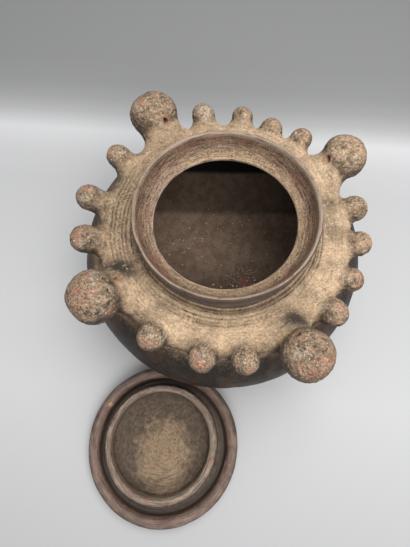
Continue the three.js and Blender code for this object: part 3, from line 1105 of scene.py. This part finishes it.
def mark_jar(obj):
    """Dust, paleness, soot, turning lines and the inside, for one of the jar's pieces."""
    points = points_of(obj)
    radius = around(points)
    lies = DUST_LEAST + (1 - DUST_LEAST) * smooth(normals_of(obj)[:, 2], *DUST_SLOPE)
    pale = side_share(points, PALE_SIDE, PALE_SPREAD)
    bare = BARE_SHARE * side_share(points, BARE_SIDE, BARE_SPREAD)
    # Painted shade under the lip: dust is thinned there, so the dark slip shows.
    lip_shade = LIP_SHADE_SHARE * smooth(radius, *LIP_SHADE_SPAN)
    fringe = FRINGE_SHARE * smooth(radius, *FRINGE) * (1 - pale)
    height = points[:, 2] + BARE_LIFT * side_share(points, BARE_SIDE, BARE_LIFT_SPREAD)
    dust = smooth(height, *DUST_FADE) * lies * (1 - bare) * (1 - lip_shade) * (1 - fringe)
    # The groove marks carry painted shade in the grooves and a painted highlight on their crests.
    mark(obj, dust=dust, pale=pale, soot=soot_share(points),
         lines=groove_share(points, GROOVE_LEAN), crests=groove_share(points, CREST_OFFSET),
         inside=smooth(bowl_field(points), *INSIDE_FADE))


for obj in [jar_body, coil_piece, rim_piece] + [piece for knob, piece, node in knobs]:
    mark_jar(obj)

# %% [markdown]
# A knob's head is worn where hands touch it, at its tip and above, and has painted shade where it
# faces the floor. A rusty halo lies round each vent, where steam came out in the fire. All of these
# follow from directions: from the head's middle to the point, along the vent, and out of the
# surface.

# %% Marks of the knobs
WORN_LEAN, WORN_FADE = (0.8, 0.6), (0.35, 0.97)
UNDERSIDE_SHADE_FADE = (0.85, 0.05)
HALO_FADE = (5.5, 3.0)


def halo(knob, place):
    """1 near the vent's mouth, by the distance from the vent's axis."""
    if not knob.vent:
        return np.zeros(len(place))
    ahead = place @ vent_axis(knob)
    across = place - ahead[:, None] * vent_axis(knob)
    return smooth(np.linalg.norm(across, axis=-1), *HALO_FADE) * (ahead > 0)


def mark_knob(knob, obj):
    """How much a point belongs to the head, how worn it is, and how much it faces the floor, which
    the finish turns into painted shade.
    """
    points = points_of(obj)
    place = points - (knob.start + knob.reach * knob.axis)
    tip = unit(knob.axis * WORN_LEAN[0] + np.array([0, 0, WORN_LEAN[1]]))
    mark(obj, head=head_share(knob, points),
         worn=knob.wear * smooth(unit(place) @ tip, *WORN_FADE),
         under=smooth(normals_of(obj)[:, 2], *UNDERSIDE_SHADE_FADE), vent=halo(knob, place))


for knob, piece, node in knobs:
    mark_knob(knob, piece)

# %% [markdown]
# On the rim, earth lies on the ledge, the lip is rubbed grey on top with a painted sheen, most of
# all at the back and on the right, and pale rubbing shows at the throat. The edge has painted shade
# where it turns down, widest at the front.

# %% Marks of the rim
LEDGE_FADE = (COLLAR_RADIUS - 1.0, THROAT_RADIUS + 4.0)
LEDGE_WORN, LEDGE_WORN_SPREAD = 0.6, (90, 20)
NEAR_FADE, NEAR_TURN = (10, -60), 0.6
BACK_FADE, BACK_TURN = (20, 80), 0.22
EDGE_SHADE_FADE = (0.84, 0.98)
GREY_BACK, GREY_RIGHT, GREY_LEAST = (10, 70), (35, 75), 0.55
LIP_FADE = (LIP_TOP - 6.0, LIP_TOP - 2.0)
THROAT_FADE = (THROAT_RADIUS + 2.2, THROAT_RADIUS + 0.6)

rim_points, rim_facing = points_of(rim_piece), normals_of(rim_piece)
rim_x, rim_y, rim_z = rim_points.T
rim_radius = around(rim_points)
faces_out = (rim_facing[:, :2] * rim_points[:, :2]).sum(axis=-1) / rim_radius
# Painted shade on the lip's outer edge, reaching round further at the front and a little at the
# back.
edge_shade_reach = NEAR_TURN * smooth(rim_y, *NEAR_FADE) + BACK_TURN * smooth(rim_y, *BACK_FADE)
# The lip's grey is partly rubbed clay and partly painted sheen, strongest at the back and on the
# right.
grey = np.maximum(smooth(rim_y, *GREY_BACK), smooth(rim_x, *GREY_RIGHT))
worn_side = side_share(rim_points, BARE_SIDE, LEDGE_WORN_SPREAD)
mark(rim_piece,
     ledge=smooth(rim_radius, *LEDGE_FADE) * (1 - LEDGE_WORN * worn_side),
     edge=smooth(faces_out + edge_shade_reach, *EDGE_SHADE_FADE),
     lip=(GREY_LEAST + (1 - GREY_LEAST) * grey) * smooth(rim_z, *LIP_FADE),
     throat=smooth(rim_radius, *THROAT_FADE))

# %% [markdown]
# ## Shader maths as Python
#
# A material is a graph of nodes. Adding them by hand in the Shader Editor is fine for a few. For
# many sums a small class is easier to read: it wraps a socket, and its + and * add Math nodes. One
# method makes every other node from its type, its settings and the values of its sockets.

# %% Wires and finishes
NOISE_ROUGH, STREAK_ROUGH = 0.55, 0.6
SPECK_RADIUS, SPECK_SOFT, CHANCE_SOFT = 0.30, 0.12, 0.03
AXIS_GAP = 0.01


def rgb(red, green, blue):
    """Linear colour from the 0 to 255 numbers that a screen shows."""
    def linear(value):
        share = value / 255
        return share / 12.92 if share <= 0.04045 else ((share + 0.055) / 1.055) ** 2.4
    return (linear(red), linear(green), linear(blue), 1.0)


class Wire:
    """The output of a shader node, which can be added, subtracted, multiplied and divided."""

    def __init__(self, finish, socket):
        self.finish, self.socket = finish, socket

    def __add__(self, other):
        return self.finish.math("ADD", self, other)

    def __sub__(self, other):
        return self.finish.math("SUBTRACT", self, other)

    def __rsub__(self, other):
        return self.finish.math("SUBTRACT", other, self)

    def __mul__(self, other):
        return self.finish.math("MULTIPLY", self, other)

    def __truediv__(self, other):
        return self.finish.math("DIVIDE", self, other)

    def __rtruediv__(self, other):
        return self.finish.math("DIVIDE", other, self)

    __radd__ = __add__
    __rmul__ = __mul__

    def swing(self, width):
        """A noise from 0 to 1 as a change that swings about nothing: (noise - 0.5) times width."""
        return (self - 0.5) * width

    def step(self, start, end):
        """A soft step from 0 at start to 1 at end, which may be the smaller number."""
        return self.finish.node("ShaderNodeMapRange", {"interpolation_type": "SMOOTHSTEP"},
                                {"Value": self, "From Min": start, "From Max": end})


class Finish:
    """A material and the few kinds of pattern that this jar's clay needs. Its x, y and z are the
    place on the object in millimetres."""

    def __init__(self, name):
        self.material = bpy.data.materials.new(name)
        self.material.use_nodes = True
        self.tree = self.material.node_tree
        self.shader = self.tree.nodes["Principled BSDF"]
        self.place = self.node("ShaderNodeTexCoord", output="Object")
        self.x, self.y, self.z = (axis * (1 / MM) for axis in self.axes(self.place))

    def node(self, kind, settings=(), values=(), output=0):
        """A node with its settings, then the values or wires of its sockets."""
        new = self.tree.nodes.new(kind)
        for name, value in dict(settings).items():
            if name == "stops":
                self.fill_ramp(new.color_ramp.elements, value)
            else:
                setattr(new, name, value)
        for key, value in dict(values).items():
            if isinstance(value, Wire):
                self.tree.links.new(value.socket, new.inputs[key])
            else:
                new.inputs[key].default_value = value
        return Wire(self, new.outputs[output])

    def fill_ramp(self, elements, stops):
        """Gives a ramp its stops, each a position from 0 to 1 and a colour."""
        while len(elements) < len(stops):
            elements.new(0.5)
        for element, (position, colour) in zip(elements, stops):
            element.position = position
            element.color = (*colour, 1.0)

    def math(self, operation, first, second=0.0):
        """A Math node on two numbers or wires."""
        return self.node("ShaderNodeMath", {"operation": operation}, {0: first, 1: second})

    def marked(self, name):
        """The number that mark() stored under that name."""
        return self.node("ShaderNodeAttribute", {"attribute_name": name}, output="Fac")

    def axes(self, vector):
        """The three numbers of a vector or colour, as wires."""
        parts = self.node("ShaderNodeSeparateXYZ", (), {0: vector})
        return [Wire(self, output) for output in parts.socket.node.outputs]

    def radius(self, centre=(0, 0), stretch=1.0):
        """Distance from an upright axis in millimetres: the root of x^2 + (stretch y)^2."""
        x, y = self.x - centre[0], (self.y - centre[1]) * stretch
        return self.math("SQRT", x * x + y * y)

    def coats(self, colour, *coats):
        """A first colour, then coats over it, each a colour and the share of it that covers. On
        the Mix node 6 and 7 are the colours' sockets, and 2 is the mixed colour's."""
        for coat, share in coats:
            colour = self.node("ShaderNodeMix", {"data_type": "RGBA"},
                               {0: share, 6: colour, 7: coat}, output=2)
        return colour

    def shade(self, colour, amount):
        """The colour times a number, which makes it lighter or darker."""
        return self.node("ShaderNodeVectorMath", {"operation": "SCALE"},
                         {0: colour, "Scale": amount})

    def noise(self, size, detail=3.0, roughness=NOISE_ROUGH):
        """Soft noise from 0 to 1 whose features are about that many millimetres wide."""
        return self.node("ShaderNodeTexNoise", (), {
            "Vector": self.place, "Scale": 1 / (size * MM), "Detail": detail,
            "Roughness": roughness})

    def specks(self, size, share):
        """Round specks about that wide, in that share of the cells of a Voronoi pattern."""
        cells = self.node("ShaderNodeTexVoronoi", (), {
            "Vector": self.place, "Scale": 1 / (size * MM)}, output="Distance")
        chance = self.axes(Wire(self, cells.socket.node.outputs["Color"]))[0]
        round_speck = cells.step(SPECK_RADIUS + SPECK_SOFT, SPECK_RADIUS - SPECK_SOFT)
        return chance.step(share, share - CHANCE_SOFT) * round_speck

    def streaks(self, length, width, centre=(0, 0)):
        """Noise that is drawn out along circles: it reads the direction from the axis, which
        changes slowly, and the distance and height, which change fast."""
        x, y, stretch = self.x - centre[0], self.y - centre[1], LIP_RADIUS / length
        radius = self.radius(centre) + AXIS_GAP
        vector = self.node("ShaderNodeCombineXYZ", (), {
            0: x / radius * stretch, 1: y / radius * stretch,
            2: (radius + self.z * LINE_SLANT) / width})
        return self.node("ShaderNodeTexNoise", (), {
            "Vector": vector, "Scale": 1.0, "Detail": 3.0, "Roughness": STREAK_ROUGH})

    def finish(self, colour, roughness, height, depth):
        """Colour, roughness and a bump of that depth in millimetres go to the shader."""
        bump = self.node("ShaderNodeBump", (), {"Height": height, "Distance": depth * MM})
        wires = {"Base Color": colour, "Roughness": roughness, "Normal": bump}
        for name, wire in wires.items():
            self.tree.links.new(wire.socket, self.shader.inputs[name])
        print(f"{self.material.name}: {len(self.tree.nodes)} nodes")
        return self.material


print("mid grey of a screen, 128, is", round(rgb(128, 128, 128)[0], 3), "in linear light")

# %% [markdown]
# ## Dusty clay
#
# The shoulder is covered with pale dry earth that has settled on a dark slip. It is thick on top,
# rubbed thin in streaks, and gone below the coil, where the burnished belly shows. A layer of paint
# could be brushed on for each of these. Here each coat is a colour and the share of it that covers,
# worked out from the marks and from noises, and the coats are laid over each other in turn.
#
# The inside's clay is plain, with a red patch and a few pale crumbs on its floor. Little light gets
# in, so its colour has painted shade: darker towards the front and higher up the wall, and the dark
# crescent with a straight edge that the rim's shadow draws on the wall, painted as two soft steps
# across a slanting plane.

# %% Finish of the bowl, the coil and the knobs' roots
EARTH_PALE, EARTH = rgb(212, 184, 152), rgb(190, 163, 133)
EARTH_GREY, EARTH_DARK = rgb(160, 138, 113), rgb(132, 108, 84)
SLIP, SLIP_DARK, SLIP_RED = rgb(51, 43, 37), rgb(38, 32, 27), rgb(78, 54, 42)
# The turning lines' colour is painted shade in their grooves.
TURNING_LINE_SHADE, SOOT = rgb(74, 58, 46), rgb(64, 58, 51)
INSIDE, INSIDE_DARK, INSIDE_RED = rgb(158, 135, 116), rgb(140, 116, 98), rgb(150, 98, 84)
# The inside's near-black colour is painted shade.
INSIDE_PAINTED_SHADE, CRUMB = rgb(12, 10, 8), rgb(246, 232, 214)
SHADE_SLANT = (0.86, 0.51)
HALF_SHADE, FULL_SHADE = (67, 77), (119, 125)
NEAR_SHADE, HIGH_SHADE = (45, -45), (12, 70)
RED_PLACE, RED_FADE = (32, -17), (14, 4)
CRUMB_SPREAD, CRUMB_HEIGHT = (32, 8), (18, 10)
DULL = 0.25


def earth_and_slip(f):
    """The colour of the jar's outside, how much earth lies on it, and its fine grain."""
    patches, cloud, fine = f.noise(26), f.noise(9, 5, 0.65), f.noise(2.0, 5, 0.8)
    streaks, strokes, dust = f.streaks(26, 1.5), f.streaks(7, 1.3), f.marked("dust")
    earth = f.coats(
        EARTH,
        (EARTH_PALE, (cloud + patches * 0.8).step(0.72, 1.05) * 0.6),
        (EARTH_PALE, f.marked("pale") * 0.75),
        (EARTH_DARK, (dust + cloud.swing(0.6)).step(0.98, 0.42)),
        (EARTH_GREY, (f.noise(15, 6, 0.7) + streaks * 0.4).step(0.66, 0.88) * 0.8))
    slip = f.coats(
        SLIP,
        (SLIP_DARK, cloud.step(0.40, 0.62)),
        (SLIP_RED, patches.step(0.52, 0.66) * 0.5))
    cover = (dust + cloud.swing(0.9) + fine.swing(0.7)).step(0.15, 0.85)
    colour = f.coats(
        slip,
        (earth, cover),
        # Painted highlight on the grooves' crests, then painted shade in the grooves.
        (EARTH_PALE, f.marked("crests") * 0.8),
        (TURNING_LINE_SHADE, f.marked("lines")),
        (SOOT, f.marked("soot") * f.noise(5, 4, 0.65).step(0.29, 0.47) * 0.9))
    shade = 0.99 + fine.swing(2.8) + strokes.swing(1.2) + streaks.swing(0.4) + patches.swing(0.7)
    return f.shade(colour, shade), cover, fine


def dusty_clay():
    """Earth and slip outside, and the clay inside, with painted shade, where that mark is 1."""
    f = Finish("dusty_clay")
    colour, cover, fine = earth_and_slip(f)
    rim_shadow_plane = f.y * SHADE_SLANT[0] + f.z * SHADE_SLANT[1]
    near_red = f.radius(RED_PLACE)
    crumbs = f.specks(2.4, 0.07) + f.specks(1.9, 0.34) * near_red.step(*CRUMB_SPREAD)
    inner = f.coats(INSIDE, (INSIDE_DARK, f.noise(12, 5, 0.65).step(0.42, 0.60)))
    inner = f.coats(
        f.shade(inner, 1.0 + fine.swing(1.6)),
        # Painted shade inside: darker towards the front, higher up the wall, and in two steps of
        # the rim's shadow.
        (INSIDE_PAINTED_SHADE, f.y.step(*NEAR_SHADE) * 0.74),
        (INSIDE_PAINTED_SHADE, f.z.step(*HIGH_SHADE) * 0.5),
        (INSIDE_PAINTED_SHADE, rim_shadow_plane.step(*HALF_SHADE) * 0.56),
        (INSIDE_PAINTED_SHADE, rim_shadow_plane.step(*FULL_SHADE)),
        (INSIDE_RED, near_red.step(*RED_FADE) * 0.55),
        (CRUMB, crumbs * f.z.step(*CRUMB_HEIGHT) * 0.9))
    colour = f.coats(colour, (inner, f.marked("inside")))
    f.shader.inputs["Specular IOR Level"].default_value = DULL
    return f.finish(colour, 0.5 + 0.45 * (cover + f.marked("inside")), fine, 0.3)


dusty = dusty_clay()

# %% [markdown]
# ## Gritty knobs
#
# The knobs' heads are handled most. The dust is rubbed off there and the sandy body shows: grey and
# tan grains, dark pits, and an orange-red gleam of bare clay on the tips. Specks are cells of a
# Voronoi texture: a random number picks the cells, and the distance from the middle rounds them.
# Soot and the vents' halos go on last, over head and root alike.

# %% Finish of the knobs
GRIT, GRIT_OLIVE, GRIT_GREY = rgb(170, 144, 118), rgb(140, 121, 97), rgb(178, 164, 148)
GRIT_RED, GRIT_PALE = rgb(150, 106, 88), rgb(240, 214, 186)
# This black is black grit in the specks, and painted shade on the heads' undersides and the lip's
# edge.
GRIT_DARK, BLACK_GRIT_AND_SHADE = rgb(84, 70, 58), rgb(52, 44, 38)
BARE, RUST = rgb(218, 130, 94), rgb(164, 120, 92)


def gritty_clay():
    """Earth and slip on the root, melting into sandy clay on the head."""
    f = Finish("gritty_clay")
    root, cover, fine = earth_and_slip(f)
    mottle, patch, broad = f.noise(5, 6, 0.72), f.noise(9, 5, 0.7), f.noise(14, 4, 0.6)
    grit, worn = f.noise(1.9, 5, 0.8), f.marked("worn")
    head = f.coats(
        GRIT,
        (GRIT_OLIVE, mottle.step(0.43, 0.57)),
        (GRIT_GREY, broad.step(0.52, 0.64) * 0.7),
        (GRIT_RED, (patch + worn * 0.13).step(0.56, 0.68) * 0.85),
        (GRIT_DARK, (patch * 0.6 + mottle * 0.4).step(0.49, 0.38) * 0.9),
        (EARTH, f.marked("pale") * broad.step(0.40, 0.60) * 0.6))
    gleam = (worn + patch * 1.6 - 0.8).step(0.35, 0.70)
    head = f.coats(
        f.shade(head, 1.04 + grit.swing(5.0) + patch.swing(2.2)),
        (BLACK_GRIT_AND_SHADE, f.specks(2.1, 0.16) * mottle.step(0.56, 0.44) * 0.7),
        (GRIT_PALE, f.specks(1.7, 0.14) * 0.9),
        (BARE, f.specks(2.6, 0.24) * gleam * 0.9),
        # Painted shade on the heads' undersides.
        (BLACK_GRIT_AND_SHADE, f.marked("under") * (0.8 + mottle.swing(1.5))))
    share = (f.marked("head") + mottle.swing(1.0)).step(0.40, 0.95)
    colour = f.coats(
        root,
        (head, share),
        (SOOT, f.marked("soot") * mottle.step(0.40, 0.50) * 0.8),
        (RUST, f.marked("vent") * 0.6))
    return f.finish(colour, 0.92 - 0.15 * share, fine + grit * share * 1.5, 0.35)


gritty = gritty_clay()

# %% [markdown]
# ## The burnished rim
#
# The collar and the lip were rubbed with a smooth stone while the slip was damp, which leaves a
# soft gleam and streaks that run round the mouth. The ledge inside is dusty and tan, the lip's top
# is rubbed grey with a painted sheen, and the outer edge has painted shade.
#
# The gleam is a lower roughness. It could be a painted map of its own, but here it follows the same
# cover of earth as the colour does, so that dust is dull wherever it lies.

# %% Finish of the rim
BURNISH, BURNISH_PURPLE = rgb(145, 121, 99), rgb(124, 99, 83)
BURNISH_RED, BURNISH_DARK = rgb(142, 88, 70), rgb(84, 68, 57)
# The lip's grey is partly painted sheen.
LIP_GREY_AND_SHEEN, LEDGE_EARTH, RUBBED = rgb(176, 156, 138), rgb(162, 136, 107), rgb(205, 182, 162)


def burnished_slip():
    """Rubbed slip, with earth where the ledge's mark is high."""
    f = Finish("burnished_slip")
    streaks, thin = f.streaks(30, 2.2), f.streaks(14, 1.0)
    cloud, fine = f.noise(14, 5, 0.65), f.noise(1.8, 5, 0.8)
    slip = f.coats(
        BURNISH,
        (BURNISH_PURPLE, (cloud * 0.6 + streaks * 0.5).step(0.48, 0.66)),
        (BURNISH_RED, f.noise(20, 4).step(0.52, 0.66) * 0.45),
        (BURNISH_DARK, thin.step(0.48, 0.34) * 0.7),
        (RUBBED, f.specks(1.4, 0.14) * 0.7))
    earth = f.coats(LEDGE_EARTH, (EARTH_GREY, thin.step(0.48, 0.64)))
    cover = (f.marked("ledge") + cloud.swing(1.6) + thin.swing(1.0)).step(0.25, 1.05)
    greyed = (cloud * 0.5 + thin * 0.6).step(0.38, 0.62)
    colour = f.coats(
        f.shade(f.coats(slip, (earth, cover)), 1.0 + fine.swing(4.4) + thin.swing(2.0)),
        # Rubbed grey with painted sheen on the lip.
        (LIP_GREY_AND_SHEEN, f.marked("lip") * greyed * 0.85),
        (RUBBED, f.marked("throat") * thin.step(0.40, 0.56) * 0.6),
        # Painted shade on the lip's outer edge.
        (BLACK_GRIT_AND_SHADE, f.marked("edge") * 0.8))
    return f.finish(colour, 0.46 + 0.38 * cover + cloud.swing(0.3), fine + thin * 0.6, 0.25)


burnished = burnished_slip()

# %% [markdown]
# ## The lid's clay
#
# The lid has four zones, by the distance from its middle: a tan dusty centre, a darker dish, a grey
# ring, and a brown roll round a groove. Four materials could be given to four sets of faces, but
# each zone would end in a clean circle. Here each zone's edge is a soft step of that distance with
# noise added. Painted shade darkens the groove, the ring's foot and the roll's outer edge. A chip
# on the roll shows the pale body.

# %% Finish of the lid
DISH, DISH_DARK, DISH_EARTH = rgb(99, 83, 68), rgb(72, 61, 50), rgb(141, 119, 95)
HOOP, HOOP_PALE, HOOP_PINK = rgb(128, 113, 99), rgb(150, 133, 117), rgb(142, 104, 91)
ROLL, ROLL_PURPLE, ROLL_RED = rgb(123, 103, 90), rgb(108, 88, 78), rgb(134, 90, 72)
# The near-black lid colour is painted shade.
PAINTED_LID_SHADE, CHIPPED = rgb(62, 50, 41), rgb(196, 140, 104)
EARTH_MIDDLE, EARTH_STRETCH, EARTH_FADE = LID_CENTRE + (0, -11), 0.78, (35, 17)
EARTH_RAGGED, EARTH_FRAYED = 44, 14
LID_GROOVE_SHADE_HEIGHT, LID_GROOVE_SHADE_REACH = (14.5, 10.5), (ROLL_INNER + 3, ROLL_INNER)
RING_FOOT_SHADE = (RING_RADIUS - 1.2, RING_RADIUS + 0.4)
ROLL_EDGE_SHADE = (LID_RADIUS - 3.0, LID_RADIUS - 0.3)
RING_LEVELS = (LID_THICKNESS + 3, LID_THICKNESS + 8)
ROLL_REACH = (RING_RADIUS + 1.0, RING_RADIUS + 3.5)
CHIP_MIDDLE, CHIP_FADE = LID_CENTRE + (-58.6, 38.2), (3.0, 1.2)


def lid_clay():
    """The dish, then the ring over it by its height, then the roll by its distance."""
    f = Finish("lid_clay")
    radius, chip = f.radius(LID_CENTRE), f.radius(CHIP_MIDDLE)
    cloud, small, fine = f.noise(13, 6, 0.68), f.noise(4.5, 5, 0.7), f.noise(1.8, 5, 0.8)
    scratch, strokes = f.streaks(22, 1.5, LID_CENTRE), f.streaks(9, 1.5, LID_CENTRE)
    middle = f.radius(EARTH_MIDDLE, EARTH_STRETCH)
    ragged = middle + cloud.swing(EARTH_RAGGED) + small.swing(EARTH_FRAYED)
    dish = f.coats(
        DISH,
        (DISH_DARK, (small * 0.7 + scratch * 0.5).step(0.52, 0.72)),
        (ROLL_RED, scratch.step(0.60, 0.74) * 0.35),
        (DISH_EARTH, ragged.step(*EARTH_FADE)))
    ring = f.coats(
        HOOP,
        (HOOP_PALE, (scratch + small * 0.4).step(0.62, 0.86) * 0.7),
        (HOOP_PINK, cloud.step(0.50, 0.64) * 0.5),
        # Painted shade at the ring's foot.
        (PAINTED_LID_SHADE, (radius + small.swing(4)).step(*RING_FOOT_SHADE)))
    roll = f.coats(
        ROLL,
        (ROLL_PURPLE, cloud.step(0.42, 0.60)),
        (ROLL_RED, (small * 0.6 + scratch * 0.4).step(0.52, 0.66) * 0.55),
        # Painted shade in the groove inside the roll, and along the roll's outer edge.
        (PAINTED_LID_SHADE, (f.z + small.swing(6)).step(*LID_GROOVE_SHADE_HEIGHT) * radius.step(*LID_GROOVE_SHADE_REACH)),
        (PAINTED_LID_SHADE, (radius + cloud.swing(4)).step(*ROLL_EDGE_SHADE) * 0.75))
    on_roll = radius.step(*ROLL_REACH)
    colour = f.coats(
        dish,
        (ring, (f.z + small.swing(3)).step(*RING_LEVELS)),
        (roll, on_roll),
        (CHIPPED, (chip + fine.swing(6)).step(*CHIP_FADE) * 0.7))
    colour = f.shade(colour, 1.0 + fine.swing(1.2) + scratch.swing(2.0) + strokes.swing(1.2))
    return f.finish(colour, 0.78 - 0.22 * on_roll + cloud.swing(0.2), fine + scratch * 0.7, 0.25)


lid_finish = lid_clay()

# %% [markdown]
# ## The sheet under the jar
#
# The floor's colour runs along Y and leans a little with X, and it is painted light and shade:
# darker towards the front, pale under the jar, a painted band of light behind it, then painted
# shade where the sheet runs up. A lamp's falloff could draw that too, but it would darken the jar
# as well.
# So it is a ramp whose stops are places in millimetres, each with its level of grey.

# %% Finish of the floor
FLOOR_SLANT = 0.055
FLOOR_TINT = (1.0, 1.01, 1.03)
FLOOR_ROUGH = 0.9
FLOOR_STOPS = (
    (-320, 0.50), (-150, 0.64), (120, 0.60), (160, 0.63), (204, 0.73), (235, 0.49), (260, 0.38),
    (290, 0.32), (340, 0.30))


def pale_sheet():
    """A ramp over y + slant times x, from its first stop's place to its last one's."""
    f = Finish("pale_sheet")
    start, end = FLOOR_STOPS[0][0], FLOOR_STOPS[-1][0]
    stops = [((place - start) / (end - start), [level * tint for tint in FLOOR_TINT])
             for place, level in FLOOR_STOPS]
    share = (f.y + f.x * FLOOR_SLANT - start) / (end - start)
    colour = f.node("ShaderNodeValToRGB", {"stops": stops}, {0: share})
    f.tree.links.new(colour.socket, f.shader.inputs["Base Color"])
    f.shader.inputs["Roughness"].default_value = FLOOR_ROUGH
    return f.material


floor.data.materials.append(pale_sheet())
print(len(FLOOR_STOPS), "stops on the floor's ramp")

# %% [markdown]
# ## Put the pieces on the frame
#
# Each piece stands for one solid of the frame and rides on its body: the jar's pieces on the jar,
# and the disc and the ring on the lid, which lifts away. In Blender that would be a parent for each
# piece, and the frame's own helper does the same.

# %% Dress the frame
def dress(obj, node, body, finish):
    """Gives a piece its material and its place on the frame, instead of the plain solid."""
    obj.data.materials.clear()
    obj.data.materials.append(finish)
    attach(obj, body)
    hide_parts(node)


dress(jar_body, "jar_body", "jar", dusty)
dress(coil_piece, "knob_band", "jar", dusty)
dress(rim_piece, "rim", "jar", burnished)
for knob, piece, node in knobs:
    dress(piece, node, "jar", gritty)
dress(lid_plate, "lid_plate", "lid", lid_finish)
dress(lid_ring, "lid_ring", "lid", lid_finish)
print(len(knobs), "knobs dressed, and the bowl, the coil, the rim and the two pieces of the lid")
